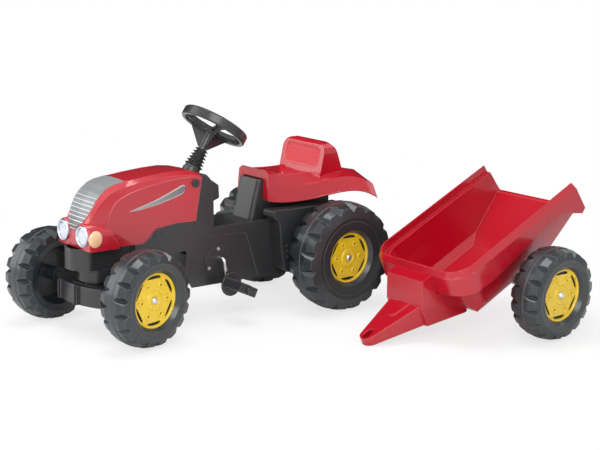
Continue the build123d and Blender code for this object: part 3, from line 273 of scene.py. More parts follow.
finishes = {
    "red_plastic": mouldedPlastic("glossRed", redFinish, coat=0.45),
    "black_plastic": mouldedPlastic("chassisBlack", blackFinish, coat=0.15),
    "wheel_black": mouldedPlastic("wheelBlack", tyreFinish, coat=0.25),
    "rim_yellow": mouldedPlastic("rimYellow", yellowFinish, coat=0.2),
    "zinc_steel": drawnSteel("zincSteel", (0.70, 0.71, 0.72), 0.34),
    "axle_steel": drawnSteel("axleSteel", (0.62, 0.63, 0.65), 0.24),
    "chain_steel": drawnSteel("chainSteel", (0.22, 0.21, 0.2), 0.4),
    "grille_silver": printedGrille(),
    "lens_white": lampPlastic("lensWhite", (0.74, 0.77, 0.82), (0.50, 0.55, 0.63)),
    "lens_orange": lampPlastic("lensOrange", (0.93, 0.60, 0.38), (0.86, 0.48, 0.26)),
    "nylon": mouldedPlastic("nylonBlack", nylonFinish),
}
bonnetRed = mouldedPlastic("bonnetRed", redFinish | {"rough": 0.4}, coat=0.9)
print("finishes made:", len(finishes) + 1)

for name, node in frame["nodes"].items():
    node.data.materials.clear()
    node.data.materials.append(finishes[slotOf[name]])
print("nodes finished")

# Softened mouldings: welded copies whose edges are really rounded, by this many millimetres

softened = {
    "chassis": 2.0, "dash_hood": 2.5, "seat_pedestal": 1.5,
    "rear_axle_bracket_left": 5, "rear_axle_bracket_right": 5, "front_axle_beam": 1.8,
    "trailer_tub": 1.9, "trailer_drawbar": 3.0, "seat": 2.4, "bonnet": 1.8,
    "pedal_left": 1.2, "pedal_right": 1.2, "steering_wheel": 1.2,
}
moulding = {"weld": 0.02, "flatWithin": 2, "sharpOver": 28, "segments": 3, "reweld": 0.01}
frontBox = {"rear": -610.0, "halfWidth": 47.0, "round": 10.0, "shortest": 10.0}


def isBoxCorner(edge):  # the upright corners of the box under the bonnet's nose
    first, second = edge.verts
    upright = (first.co.xy - second.co.xy).length < 0.1 * mm
    tall = edge.calc_length() > frontBox["shortest"] * mm
    ends = [((vert.co.x - tractorX) / mm, (vert.co.y - tractorY) / mm) for vert in edge.verts]
    onBox = all(y < frontBox["rear"] and abs(x) < frontBox["halfWidth"] for x, y in ends)
    return upright and tall and onBox and len(edge.link_faces) == 2


def bevelEdges(build, edges, width, segments):
    bmesh.ops.bevel(build, geom=edges, offset=width * mm, segments=segments, profile=0.5, affect="EDGES",
                    clamp_overlap=True, material=-1)


def roundedMoulding(name, width):
    mesh = frame["nodes"][name].data.copy()
    piece = bpy.data.objects.new(name + "_moulding", mesh)
    bpy.context.scene.collection.objects.link(piece)
    build = bmesh.new()
    build.from_mesh(mesh)
    bmesh.ops.remove_doubles(build, verts=build.verts, dist=moulding["weld"] * mm)
    flatWithin = math.radians(moulding["flatWithin"])
    bmesh.ops.dissolve_limit(build, angle_limit=flatWithin, verts=build.verts, edges=build.edges)
    if name == "chassis":
        bevelEdges(build, [edge for edge in build.edges if isBoxCorner(edge)], frontBox["round"], 5)
    sharpOver = math.radians(moulding["sharpOver"])
    folds = [edge for edge in build.edges if len(edge.link_faces) == 2]
    sharp = [edge for edge in folds if edge.calc_face_angle(0) > sharpOver]
    bevelEdges(build, sharp, width, moulding["segments"])
    bmesh.ops.remove_doubles(build, verts=build.verts, dist=moulding["reweld"] * mm)
    for face in build.faces:
        face.smooth = True
    build.to_mesh(mesh)
    build.free()
    shading = piece.modifiers.new("evenShade", "WEIGHTED_NORMAL")
    shading.keep_sharp = False
    if name == "bonnet":
        mesh.materials.clear()
        mesh.materials.append(bonnetRed)
    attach(piece, bodyOf[name])
    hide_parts(name)


for name, width in softened.items():
    roundedMoulding(name, width)
print("mouldings softened:", len(softened))

# Makers that the pieces below share

creaseAngle = math.radians(32)


def addPiece(name, mesh, body, slotName, material, *hidden):
    piece = bpy.data.objects.new(name, mesh)
    bpy.context.scene.collection.objects.link(piece)
    mesh.materials.clear()
    mesh.materials.append(material)
    for face in mesh.polygons:
        face.use_smooth = True
    mesh.set_sharp_from_angle(angle=creaseAngle)
    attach(piece, body)
    if hidden:
        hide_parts(*hidden)
    return piece


def meshFrom(build, name):
    bmesh.ops.remove_doubles(build, verts=build.verts, dist=0.01 * mm)
    bmesh.ops.recalc_face_normals(build, faces=build.faces)
    mesh = bpy.data.meshes.new(name)
    build.to_mesh(mesh)
    build.free()
    return mesh


def bead(name, points, radius):  # a round bead along a smooth line
    data = bpy.data.curves.new(name, "CURVE")
    data.dimensions = "3D"
    data.bevel_depth = radius * mm
    data.bevel_resolution = 3
    data.resolution_u = 8
    data.use_fill_caps = True
    line = data.splines.new("NURBS")
    line.points.add(len(points) - 1)
    for knot, place in zip(line.points, points):
        knot.co = (*place, 1)
    line.order_u = 3
    line.use_endpoint_u = True
    holder = bpy.data.objects.new(name, data)
    mesh = bpy.data.meshes.new_from_object(holder)
    bpy.data.objects.remove(holder)
    return mesh


def skinOf(node):  # for laying pieces on a CAD node's surface
    build = bmesh.new()
    build.from_mesh(frame["nodes"][node].data)
    tree = BVHTree.FromBMesh(build)
    build.free()
    return tree


def turned(name, profile, centre, axis, steps=48):  # profile of (radius, depth along the axis), in mm
    build = bmesh.new()
    across = axis.orthogonal().normalized()
    ring = [build.verts.new(centre + (across * radius + axis * depth) * mm) for radius, depth in profile]
    edges = [build.edges.new(pair) for pair in zip(ring, ring[1:])]
    bmesh.ops.spin(build, geom=ring + edges, cent=centre, axis=axis, angle=2 * math.pi, steps=steps,
                   use_merge=True)
    return meshFrom(build, name)


# Headlamps in their pods, and the indicators on the pod sides

lampPod = {
    "spacing": 80.0, "height": 231.5, "halfWidth": 26.5, "hem": 200.5, "top": 259.0, "rear": 566.0,
    "slopeFrom": 606.0, "slopeTo": 562.0, "slopeLift": 3.0, "slopeDrop": 58.0, "crownRound": 25.5,
    "edge": 3.0, "proud": 0.8,
}
lampRing = {"outer": 23.5, "inner": 19.0, "proud": 5.5, "lensProud": 3.2}
indicator = {"y": -627.0, "z": 228.0, "halfLength": 17.0, "halfHeight": 18.5, "proud": 6.0, "sunk": 0.5}
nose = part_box("bonnet")[0].y
podFace = (nose - tractorY) / mm - lampPod["proud"]  # just ahead of the bonnet's nose


def buildPod(side, word):
    build = bmesh.new()
    bmesh.ops.create_cube(build, size=1)
    middle = side * lampPod["spacing"] / 2
    low = fromTractor(middle - lampPod["halfWidth"], podFace, lampPod["hem"])
    high = fromTractor(middle + lampPod["halfWidth"], -lampPod["rear"], lampPod["top"])
    for vert in build.verts:
        vert.co = Vector([low[axis] if vert.co[axis] < 0 else high[axis] for axis in range(3)])
    crown = [
        edge for edge in build.edges
        if all(vert.co.z > high.z - mm for vert in edge.verts)
        and abs(edge.verts[0].co.x - edge.verts[1].co.x) < mm
    ]
    bevelEdges(build, crown, lampPod["crownRound"], 10)
    # The pod's roof slopes back into the bonnet
    slopeTop = fromTractor(0, -lampPod["slopeFrom"], lampPod["top"] + lampPod["slopeLift"])
    slope = Vector((0, lampPod["slopeDrop"], lampPod["slopeFrom"] - lampPod["slopeTo"]))
    whole = build.verts[:] + build.edges[:] + build.faces[:]
    cut = bmesh.ops.bisect_plane(build, geom=whole, plane_co=slopeTop, plane_no=slope, clear_outer=True)
    opened = [item for item in cut["geom_cut"] if isinstance(item, bmesh.types.BMEdge)]
    bmesh.ops.contextual_create(build, geom=opened)
    rim = [edge for edge in build.edges if all(vert.co.y < low.y + 0.1 * mm for vert in edge.verts)]
    bevelEdges(build, rim, lampPod["edge"], 3)
    name = "lampPod_" + word
    addPiece(name, meshFrom(build, name), "chassis", "red_plastic", bonnetRed)


def buildHeadlamp(side, word):
    centre = fromTractor(side * lampPod["spacing"] / 2, podFace, lampPod["height"])
    forward = Vector((0, -1, 0))
    outer, inner, proud = lampRing["outer"], lampRing["inner"], lampRing["proud"]
    ring = [
        (outer, -1), (outer, proud - 1.6), (outer - 0.7, proud - 0.4), (outer - 2, proud),
        (inner + 1, proud - 0.4), (inner, proud - 2), (inner, -1),
    ]
    mesh = turned("headlampRing_" + word, ring, centre, forward)
    addPiece("headlampRing_" + word, mesh, "chassis", "lens_white", ringSilver, "headlamp_lenses")
    turns = [step * math.pi / 16 for step in range(8)]
    dome = [(inner * math.cos(turn), lampRing["lensProud"] * (0.2 + math.sin(turn))) for turn in turns]
    dome.append((0, lampRing["lensProud"] * 1.2))
    mesh = turned("headlampLens_" + word, dome, centre, forward, steps=36)
    addPiece("headlampLens_" + word, mesh, "chassis", "lens_white", finishes["lens_white"], "headlamp_lenses")


def buildIndicator(side, word):
    build = bmesh.new()
    bmesh.ops.create_uvsphere(build, u_segments=40, v_segments=20, radius=1)
    size = Vector((indicator["proud"], indicator["halfLength"], indicator["halfHeight"])) * mm
    bmesh.ops.scale(build, vec=size, verts=build.verts)
    podSide = lampPod["spacing"] / 2 + lampPod["halfWidth"] - indicator["sunk"]
    place = fromTractor(side * podSide, indicator["y"], indicator["z"])
    bmesh.ops.translate(build, vec=place, verts=build.verts)
    name = "indicatorLens_" + word
    mesh = meshFrom(build, name)
    addPiece(name, mesh, "chassis", "lens_orange", finishes["lens_orange"], "indicator_lenses")


ringSilver = drawnSteel("lampRingSilver", (0.62, 0.67, 0.76), 0.3)
for side, word in sides:
    buildPod(side, word)
    buildHeadlamp(side, word)
    buildIndicator(side, word)
print("headlamps and indicators built")

# Raised lines on the bonnet as (y, z) and (x, z), and the plain silver flash on each side panel

bonnetLines = {"archRadius": 1.3, "archSunk": 0.2, "grilleRadius": 1.7, "sideStart": 120, "noseStart": -760}
panelArch = [(-594, 240), (-589, 268), (-572, 300), (-545, 316), (-493, 328), (-433, 338), (-372, 341)]
grilleEdge = [(31, 262), (37, 271), (43, 293), (44, 315), (42, 344)]
flash = {
    "from": -535.0, "to": -386.0, "tipZ": 277.0, "endZ": 318.0, "sag": 5.0, "halfHeight": 11.0,
    "proud": 0.3, "swell": 0.75, "roundEnd": 0.06, "filled": 0.38,
    "bright": (0.42, 0.42, 0.43), "dark": (0.17, 0.17, 0.18), "border": (0.66, 0.64, 0.62),
}
bonnetSkin = skinOf("bonnet")


def onSide(side, y, z, lift=0.0):
    start = fromTractor(side * bonnetLines["sideStart"], y, z)
    hit = bonnetSkin.ray_cast(start, Vector((-side, 0, 0)))[0]
    return hit + Vector((side * lift * mm, 0, 0))


def onNose(x, z):
    start = fromTractor(x, bonnetLines["noseStart"], z)
    return bonnetSkin.ray_cast(start, Vector((0, 1, 0)))[0]


def silverFilm():
    material, tree, shader = startMaterial("flashSilver")
    leaf = addNode(tree, "ShaderNodeUVMap", uv_map="leaf")
    split = addNode(tree, "ShaderNodeSeparateXYZ")
    middle = addNode(tree, "ShaderNodeMath", operation="COMPARE")
    middle.inputs[1].default_value = 0.5
    middle.inputs[2].default_value = flash["filled"]
    sweep = addNode(tree, "ShaderNodeValToRGB")
    sweep.color_ramp.elements[0].color = (*flash["bright"], 1)
    sweep.color_ramp.elements[1].color = (*flash["dark"], 1)
    rim = addNode(tree, "ShaderNodeMix", data_type="RGBA")
    rim.inputs["A"].default_value = (*flash["border"], 1)
    tree.links.new(leaf.outputs["UV"], split.inputs["Vector"])
    tree.links.new(split.outputs["Y"], middle.inputs[0])
    tree.links.new(split.outputs["X"], sweep.inputs["Fac"])
    tree.links.new(middle.outputs[0], rim.inputs["Factor"])
    tree.links.new(sweep.outputs["Color"], rim.inputs["B"])
    tree.links.new(rim.outputs["Result"], shader.inputs["Base Color"])
    shader.inputs["Metallic"].default_value = 0.2
    shader.inputs["Roughness"].default_value = 0.35
    return material


def buildFlash(side, word):  # a leaf: sharp at the front, round at the back
    build = bmesh.new()
    bmesh.ops.create_grid(build, x_segments=40, y_segments=8, size=0.5)
    leaf = build.loops.layers.uv.new("leaf")
    for face in build.faces:
        for loop in face.loops:
            loop[leaf].uv = (loop.vert.co.x + 0.5, loop.vert.co.y + 0.5)
    for vert in build.verts:
        along, across = vert.co.x + 0.5, vert.co.y * 2
        swell = along ** flash["swell"] * min(1, (1 - along) / flash["roundEnd"]) ** 0.5
        y = flash["from"] + along * (flash["to"] - flash["from"])
        middle = flash["tipZ"] + along * (flash["endZ"] - flash["tipZ"])
        middle -= flash["sag"] * math.sin(math.pi * along)
        vert.co = onSide(side, y, middle + across * swell * flash["halfHeight"], flash["proud"])
    bmesh.ops.remove_doubles(build, verts=build.verts, dist=0.01 * mm)
    for face in build.faces:
        if face.normal.x * side < 0:
            face.normal_flip()
    name = "sideFlash_" + word
    mesh = bpy.data.meshes.new(name)
    build.to_mesh(mesh)
    build.free()
    piece = addPiece(name, mesh, "chassis", "grille_silver", flashSilver)
    film = piece.modifiers.new("film", "SOLIDIFY")
    film.thickness = flash["proud"] * mm
    film.offset = -1


flashSilver = silverFilm()
# The beads and the backrest frame are painted a paler red than the body: a painted highlight along the raised
# lines
beadHighlightColours = {"colour": (0.66, 0.075, 0.085), "shade": (0.58, 0.05, 0.06)}
highlightRed = mouldedPlastic("highlightRed", redFinish | beadHighlightColours, coat=0.6)
for side, word in sides:
    buildFlash(side, word)
    arch = [onSide(side, y, z, -bonnetLines["archSunk"]) for y, z in panelArch]
    mesh = bead("archBead_" + word, arch, bonnetLines["archRadius"])
    addPiece("archBead_" + word, mesh, "chassis", "red_plastic", highlightRed)
    lip = [onNose(side * x, z) for x, z in grilleEdge]
    mesh = bead("grilleBead_" + word, lip, bonnetLines["grilleRadius"])
    addPiece("grilleBead_" + word, mesh, "chassis", "red_plastic", highlightRed)
print("bonnet lines and side flashes built")

# Wheels: rings on each tyre's wall, and pressed rims with six slots between their bosses

# Body and tyre radius of each wheel
wheels = {
    "front_left": ("front_wheel_left", 107.0), "front_right": ("front_wheel_right", 107.0),
    "rear_left": ("rear_axle", 132.5), "rear_right": ("rear_wheel_right", 132.5),
    "trailer_left": ("trailer_wheel_left", 107.0), "trailer_right": ("trailer_wheel_right", 107.0),
}
wallRings = {"shares": (0.68, 0.76), "bead": 0.9, "castFrom": 200.0}
rimShape = {
    "radius": 61.0, "depth": 9.0, "flange": 4.0, "plate": 4.0, "wall": 1.8, "hub": 21.0, "bore": 8.1,
    "capSeat": (11.0, 13.0, 3.0), "slots": 6, "slotInner": 48.0, "slotOuter": 55.2, "slotHalf": 20.0,
    "slotSwell": 0.85, "cutReach": 20.0,
    "bossCircle": 37.0, "bossRadius": 7.6, "bossHole": 2.6, "bossProud": 2.5, "bossSunk": 0.5,
}


def axleLine(name):  # a wheel's centre and its outward axis
    low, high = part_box(name.replace("_", "_tyre_"))
    steered = next(joint["axis"] for joint in frame["joints"] if joint["name"] == "front_wheel_left_spin")
    axis = Vector(steered) if name.startswith("front") else Vector((1, 0, 0))
    return (low + high) / 2, axis if name.endswith("left") else -axis


def reachAlong(node, centre, axis):  # how far a node stands out along an axis, in millimetres
    return max((vert.co - centre).dot(axis) for vert in frame["nodes"][node].data.vertices) / mm


def buildWallRings(name, body, radius):
    centre, axis = axleLine(name)
    node = name.replace("_", "_tyre_")
    skin = skinOf(node)
    across = axis.orthogonal().normalized()
    size = wallRings["bead"]
    deepest = reachAlong(node, centre, axis) - size
    for number, share in enumerate(wallRings["shares"]):
        reach = share * radius
        start = centre + (across * reach + axis * wallRings["castFrom"]) * mm
        hit = skin.ray_cast(start, -axis)[0]
        if hit is None:
            continue
        depth = min((hit - centre).dot(axis) / mm, deepest)
        turns = [step * math.pi / 4 for step in range(9)]
        section = [(reach + size * math.cos(turn), depth + size * math.sin(turn)) for turn in turns]
        title = f"wallRing_{name}_{number + 1}"
        mesh = turned(title, section, centre, axis, steps=96)
        addPiece(title, mesh, body, "wheel_black", finishes["wheel_black"])


def rimCutter(place):  # crescent slots between the bosses, and the bosses' holes
    build = bmesh.new()
    depth = -rimShape["cutReach"]
    slotInner, slotDeep = rimShape["slotInner"], rimShape["slotOuter"] - rimShape["slotInner"]
    for slot in range(rimShape["slots"]):
        turn = Matrix.Rotation(2 * math.pi * slot / rimShape["slots"], 4, "Z")
        outline = bmesh.ops.create_circle(build, cap_ends=True, segments=32, radius=1)["verts"]
        for vert in outline:
            swell = max(0, vert.co.x) ** rimShape["slotSwell"] * slotDeep
            vert.co = turn @ Vector((slotInner + swell, vert.co.y * rimShape["slotHalf"], depth)) * mm
        turn = Matrix.Rotation(2 * math.pi * (slot + 0.5) / rimShape["slots"], 4, "Z")
        size = rimShape["bossHole"] * mm
        hole = bmesh.ops.create_circle(build, cap_ends=True, segments=16, radius=size)["verts"]
        for vert in hole:
            vert.co = turn @ (vert.co + Vector((rimShape["bossCircle"], 0, depth)) * mm)
    bmesh.ops.remove_doubles(build, verts=build.verts, dist=0.001 * mm)
    grown = bmesh.ops.extrude_face_region(build, geom=build.faces[:])["geom"]
    raised = [item for item in grown if isinstance(item, bmesh.types.BMVert)]
    bmesh.ops.translate(build, vec=Vector((0, 0, -2 * depth * mm)), verts=raised)
    bmesh.ops.transform(build, matrix=place, verts=build.verts)
    return meshFrom(build, "rimCutter")


def rimSection(face):  # half section of the pressed rim, whose outer face stands at this depth
    outer, hub, bore = rimShape["radius"], rimShape["hub"], rimShape["bore"]
    plate = face - rimShape["plate"]
    inside = plate - rimShape["wall"]
    rear = face - rimShape["depth"]
    seatInner, seatOuter, seatDeep = rimShape["capSeat"]
    return [
        (bore, rear), (hub - 1, rear), (hub + 1, inside), (outer - rimShape["flange"], inside),
        (outer - 1.5, rear), (outer, rear), (outer, face - 0.8), (outer - 0.8, face),
        (outer - 3.2, face), (outer - 4.2, face - 0.8), (outer - 5.8, plate), (hub + 2, plate),
        (hub + 0.4, face - 1.5), (hub - 0.6, face - 1), (seatOuter, face - 1),
        (seatInner, face - seatDeep), (bore, face - seatDeep), (bore, rear),
    ]


def bossSection():
    hole, wide = rimShape["bossHole"], rimShape["bossRadius"]
    foot, top = -rimShape["plate"] - rimShape["bossSunk"], rimShape["bossProud"] - rimShape["plate"]
    return [
        (hole, foot), (wide, foot), (wide, top - 0.6), (wide - 0.6, top), (hole + 1.2, top),
        (hole, top - 0.8), (hole, foot),
    ]


def buildRim(name, body):
    centre, axis = axleLine(name)
    node = name.replace("_", "_rim_")
    title = node + "_pressed"
    face = reachAlong(node, centre, axis)
    blank = turned(title, rimSection(face), centre, axis, steps=96)
    up = axis.cross(Vector((0, 0, 1)).cross(axis)).normalized()
    turn = Matrix((up, axis.cross(up), axis)).transposed().to_4x4()
    place = Matrix.Translation(centre + axis * face * mm) @ turn
    holder = bpy.data.objects.new(title + "_blank", blank)
    cutter = bpy.data.objects.new("rimCutter", rimCutter(place))
    for part in (holder, cutter):
        bpy.context.scene.collection.objects.link(part)
    cut = holder.modifiers.new("slots", "BOOLEAN")
    cut.object = cutter
    cut.solver = "EXACT"
    evaluated = holder.evaluated_get(bpy.context.evaluated_depsgraph_get())
    build = bmesh.new()
    build.from_mesh(evaluated.to_mesh())
    for part in (holder, cutter):
        bpy.data.objects.remove(part)
    for boss in range(rimShape["slots"]):
        angle = 2 * math.pi * (boss + 0.5) / rimShape["slots"]
        middle = place @ (Vector((math.cos(angle), math.sin(angle), 0)) * rimShape["bossCircle"] * mm)
        build.from_mesh(turned("boss", bossSection(), middle, axis, steps=24))
    mesh = bpy.data.meshes.new(title)
    build.to_mesh(mesh)
    build.free()
    addPiece(title, mesh, body, "rim_yellow", finishes["rim_yellow"], node)


for name, (body, radius) in wheels.items():
    buildWallRings(name, body, radius)
    buildRim(name, body)
print("wheels detailed:", len(wheels))

# Ring bosses round the two screws that hold the bonnet's hem

screwBoss = {"outer": 12.0, "inner": 8.4, "proud": 1.4, "sunk": 0.5, "behindHead": 2.5}
screwLow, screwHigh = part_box("bonnet_screws")
for side, word in sides:
    headEnd = screwHigh.x if side > 0 else screwLow.x
    centre = (screwLow + screwHigh) / 2
    centre.x = headEnd - side * screwBoss["behindHead"] * mm
    outer, inner = screwBoss["outer"], screwBoss["inner"]
    proud, foot = screwBoss["proud"], -screwBoss["sunk"]
    profile = [
        (outer, foot), (outer, 0.6 * proud), (outer - 1, proud), (inner + 1, proud),
        (inner, 0.5 * proud), (inner, foot), (outer, foot),
    ]
    mesh = turned("screwBoss_" + word, profile, centre, Vector((side, 0, 0)))
    addPiece("screwBoss_" + word, mesh, "chassis", "black_plastic", finishes["black_plastic"])
print("screw bosses built")

# Seat: a pebbled panel in the backrest with its raised frame, and a rolled hem on the skirts

seatTrim = {
    "panelHalf": 65.0, "panelLow": 332.0, "panelHigh": 384.0, "panelProud": 0.35,
    "squeezeX": 0.09, "squeezeZ": 0.12, "frame": 1.3, "frameProud": 0.2,
    "pebbleScale": 420, "pebblePale": (0.66, 0.05, 0.06), "pebbleRough": 0.34,
}
seatHem = {
    "radius": 1.7, "from": -146.0, "to": 118.0, "knots": 34, "lowest": 150, "highest": 330,
    "clear": 60.0,
}
seatCast = {"front": -120.0, "side": 260.0}
seatSkin = skinOf("seat")


def pebbledRed():
    material, tree, shader = startMaterial("pebbledRed")
    place = addNode(tree, "ShaderNodeTexCoord")
    pebbles = addNode(tree, "ShaderNodeTexVoronoi")
    pebbles.inputs["Scale"].default_value = seatTrim["pebbleScale"]
    tint = addNode(tree, "ShaderNodeMix", data_type="RGBA")
    tint.inputs["A"].default_value = (*seatTrim["pebblePale"], 1)
    tint.inputs["B"].default_value = (*redFinish["colour"], 1)
    relief = addNode(tree, "ShaderNodeBump")
    relief.inputs["Strength"].default_value = 0.7
    relief.inputs["Distance"].default_value = 0.6 * mm
    tree.links.new(place.outputs["Object"], pebbles.inputs["Vector"])
    tree.links.new(pebbles.outputs["Distance"], tint.inputs["Factor"])
    tree.links.new(pebbles.outputs["Distance"], relief.inputs["Height"])
    tree.links.new(tint.outputs["Result"], shader.inputs["Base Color"])
    tree.links.new(relief.outputs["Normal"], shader.inputs["Normal"])
    shader.inputs["Roughness"].default_value = seatTrim["pebbleRough"]
    return material


def onBackrest(x, z, lift):
    hit = seatSkin.ray_cast(fromTractor(x, seatCast["front"], z), Vector((0, 1, 0)))[0]
    return hit + Vector((0, -lift * mm, 0))


def panelPoint(across, up):  # a square turned to a panel with round corners
    x = across * (1 - seatTrim["squeezeX"] * up**6) * seatTrim["panelHalf"]
    middle = (seatTrim["panelLow"] + seatTrim["panelHigh"]) / 2
    halfHeight = (seatTrim["panelHigh"] - seatTrim["panelLow"]) / 2
    return x, middle + up * (1 - seatTrim["squeezeZ"] * across**6) * halfHeight


def buildBackrestPanel():
    build = bmesh.new()
    bmesh.ops.create_grid(build, x_segments=30, y_segments=14, size=1)
    for vert in build.verts:
        vert.co = onBackrest(*panelPoint(vert.co.x, vert.co.y), seatTrim["panelProud"])
    for face in build.faces:
        if face.normal.y > 0:
            face.normal_flip()
    mesh = bpy.data.meshes.new("backrestPanel")
    build.to_mesh(mesh)
    build.free()
    addPiece("backrestPanel", mesh, "chassis", "red_plastic", pebbledRed())


def buildBackrestFrame():
    around = [(-1 + step / 6, -1) for step in range(12)] + [(1, -1 + step / 3) for step in range(6)]
    around += [(-across, -up) for across, up in around]
    around.append(around[0])
    rim = [onBackrest(*panelPoint(across, up), seatTrim["frameProud"]) for across, up in around]
    mesh = bead("backrestFrame", rim, seatTrim["frame"])
    addPiece("backrestFrame", mesh, "chassis", "red_plastic", highlightRed)


def skirtEdge(side, y):  # the lowest place where the skirt stands beside the wheel
    for height in range(seatHem["lowest"], seatHem["highest"]):
        start = fromTractor(side * seatCast["side"], y, height)
        hit = seatSkin.ray_cast(start, Vector((-side, 0, 0)))[0]
        if hit and (hit.x - tractorX) * side > seatHem["clear"] * mm:
            return hit + Vector((-side * mm, 0, mm))
    return None


def buildHem(side, word):
    stride = (seatHem["to"] - seatHem["from"]) / (seatHem["knots"] - 1)
    edge = [skirtEdge(side, seatHem["from"] + knot * stride) for knot in range(seatHem["knots"])]
    name = "seatHem_" + word
    mesh = bead(name, [point for point in edge if point], seatHem["radius"])
    addPiece(name, mesh, "chassis", "red_plastic", finishes["red_plastic"])


buildBackrestPanel()
buildBackrestFrame()
for side, word in sides:
    buildHem(side, word)
print("seat trimmed")

# Pedals: black caps over the ends of their spindles

pedalCap = {"radius": 6.5, "proud": 1.6, "sunk": 0.5}
for side, word in sides:
    pedal = "pedal_" + word
    spindle = next(joint["pos_m"] for joint in frame["joints"] if joint["name"] == pedal + "_spin")
    pedalReach = max(side * corner.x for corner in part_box(pedal))
    spindleReach = max(side * corner.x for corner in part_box("crankshaft"))
    outermost = max(pedalReach, spindleReach)
    centre = Vector((side * outermost, spindle[1], spindle[2]))
    radius, proud = pedalCap["radius"], pedalCap["proud"]
    foot = -(outermost - pedalReach) / mm - pedalCap["sunk"]
    profile = [
        (radius, foot), (radius, 0.3 * proud), (0.8 * radius, 0.8 * proud), (0.4 * radius, proud), (0, proud),
    ]
    mesh = turned("pedalCap_" + word, profile, centre, Vector((side, 0, 0)), steps=24)
    addPiece("pedalCap_" + word, mesh, pedal, "black_plastic", finishes["black_plastic"])
print("pedal caps built")

# Floor, light and camera

studio = {
    "floor": 14.0, "floorGrey": 0.9, "floorRough": 0.7, "floorShine": 0.1,
    "nearShare": 0.72, "whiteFrom": 0.65, "whiteBy": 1.5,
    "worldFill": 0.4, "brightSide": (0.76, -0.62, -0.2), "glossFrom": -0.7, "glossTo": 0.3,
    "brightGloss": 1.0, "darkGloss": 0.03, "aim": (0, 0, 0.22),
}
softBoxes = {
    "keyLight": {"place": (1.9, -1.5, 1.7), "size": 1.6, "power": 41},
    "topLight": {"place": (-0.3, -0.2, 2.9), "size": 1.4, "power": 40},
    "fillLight": {"place": (-1.6, -2.1, 1.3), "size": 2.0, "power": 33},
    "backLight": {"place": (0.2, 2.6, 1.8), "size": 2.0, "power": 20},
}


def paleFloor():
    build = bmesh.new()
    bmesh.ops.create_grid(build, x_segments=1, y_segments=1, size=studio["floor"] / 2)
    mesh = bpy.data.meshes.new("floor")
    build.to_mesh(mesh)
    build.free()
    floor = bpy.data.objects.new("floor", mesh)
    bpy.context.scene.collection.objects.link(floor)
    material, tree, shader = startMaterial("paleFloor")
    shader.inputs["Base Color"].default_value = (studio["floorGrey"],) * 3 + (1,)
    shader.inputs["Roughness"].default_value = studio["floorRough"]
    shader.inputs["Specular IOR Level"].default_value = studio["floorShine"]
    # Glows white for the camera, wholly so away from the object, and keeps its shadow near it
    place = addNode(tree, "ShaderNodeTexCoord")
    distance = addNode(tree, "ShaderNodeVectorMath", operation="LENGTH")
    share = addNode(tree, "ShaderNodeMapRange", interpolation_type="SMOOTHSTEP")
    share.inputs["From Min"].default_value = studio["whiteFrom"]
    share.inputs["From Max"].default_value = studio["whiteBy"]
    share.inputs["To Min"].default_value = studio["nearShare"]
    glow = addNode(tree, "ShaderNodeEmission")
    lightPath = addNode(tree, "ShaderNodeLightPath")
    seen = addNode(tree, "ShaderNodeMath", operation="MULTIPLY")
    mix = addNode(tree, "ShaderNodeMixShader")
    tree.links.new(place.outputs["Object"], distance.inputs[0])
    tree.links.new(distance.outputs["Value"], share.inputs["Value"])
    tree.links.new(share.outputs["Result"], seen.inputs[0])
    tree.links.new(lightPath.outputs["Is Camera Ray"], seen.inputs[1])
    tree.links.new(seen.outputs[0], mix.inputs["Fac"])
    tree.links.new(shader.outputs["BSDF"], mix.inputs[1])
    tree.links.new(glow.outputs["Emission"], mix.inputs[2])
    tree.links.new(mix.outputs["Shader"], tree.nodes["Material Output"].inputs["Surface"])
    mesh.materials.append(material)


def softBox(name, place, size, power):
    data = bpy.data.lights.new(name, "AREA")
    data.shape = "SQUARE"
    data.size = size
    data.energy = power
    lamp = bpy.data.objects.new(name, data)
    lamp.location = place
    lamp.rotation_euler = (Vector(studio["aim"]) - Vector(place)).to_track_quat("-Z", "Y").to_euler()
    bpy.context.scene.collection.objects.link(lamp)


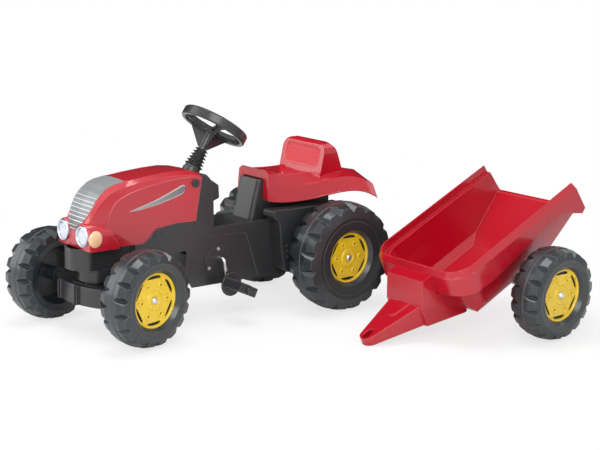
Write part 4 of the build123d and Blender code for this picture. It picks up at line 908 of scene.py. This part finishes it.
def surroundings():
    world = bpy.data.worlds.new("studio")
    world.use_nodes = True
    tree = world.node_tree
    background = tree.nodes["Background"]
    background.inputs["Color"].default_value = (1, 1, 1, 1)
    lightPath = addNode(tree, "ShaderNodeLightPath")
    # Reflections see a white studio on the front left and a darker room behind
    place = addNode(tree, "ShaderNodeTexCoord")
    towards = addNode(tree, "ShaderNodeVectorMath", operation="DOT_PRODUCT")
    towards.inputs[1].default_value = studio["brightSide"]
    room = addNode(tree, "ShaderNodeMapRange", interpolation_type="SMOOTHSTEP")
    room.inputs["From Min"].default_value = studio["glossFrom"]
    room.inputs["From Max"].default_value = studio["glossTo"]
    room.inputs["To Min"].default_value = studio["darkGloss"]
    room.inputs["To Max"].default_value = studio["brightGloss"]
    shiny = addNode(tree, "ShaderNodeMix")
    shiny.inputs["A"].default_value = studio["worldFill"]
    seen = addNode(tree, "ShaderNodeMath", operation="MAXIMUM")
    white = addNode(tree, "ShaderNodeMix")
    white.inputs["B"].default_value = 1
    tree.links.new(place.outputs["Generated"], towards.inputs[0])
    tree.links.new(towards.outputs["Value"], room.inputs["Value"])
    tree.links.new(lightPath.outputs["Is Glossy Ray"], shiny.inputs["Factor"])
    tree.links.new(room.outputs["Result"], shiny.inputs["B"])
    tree.links.new(lightPath.outputs["Is Camera Ray"], seen.inputs[0])
    tree.links.new(lightPath.outputs["Is Transmission Ray"], seen.inputs[1])
    tree.links.new(seen.outputs[0], white.inputs["Factor"])
    tree.links.new(shiny.outputs["Result"], white.inputs["A"])
    tree.links.new(white.outputs["Result"], background.inputs["Strength"])
    bpy.context.scene.world = world


paleFloor()
surroundings()
for name, box in softBoxes.items():
    softBox(name, **box)

# Angles in degrees, the rest in millimetres
viewpoint = {
    "azimuth": 49.93, "elevation": 12.16, "roll": 1.92, "place": (2436.8, -2047.8, 863.4),
    "lens": 78.09, "sensor": 36.0,
}


def placeCamera():
    azimuth, elevation, roll = (math.radians(viewpoint[key]) for key in ("azimuth", "elevation", "roll"))
    level = math.cos(elevation)
    back = Vector((math.sin(azimuth) * level, -math.cos(azimuth) * level, math.sin(elevation)))
    right = Vector((0, 0, 1)).cross(back).normalized()
    up = back.cross(right)
    side = math.cos(roll) * right + math.sin(roll) * up
    top = math.cos(roll) * up - math.sin(roll) * right
    data = bpy.data.cameras.new("camera")
    data.sensor_width = viewpoint["sensor"]
    data.lens = viewpoint["lens"]
    data.clip_end = 50
    camera = bpy.data.objects.new("camera", data)
    turn = Matrix((side, top, back)).transposed().to_4x4()
    camera.matrix_world = Matrix.Translation(fromTractor(*viewpoint["place"])) @ turn
    bpy.context.scene.collection.objects.link(camera)
    bpy.context.scene.camera = camera


placeCamera()
bpy.context.scene.view_settings.view_transform = "Standard"
print("stage, lights and camera set")
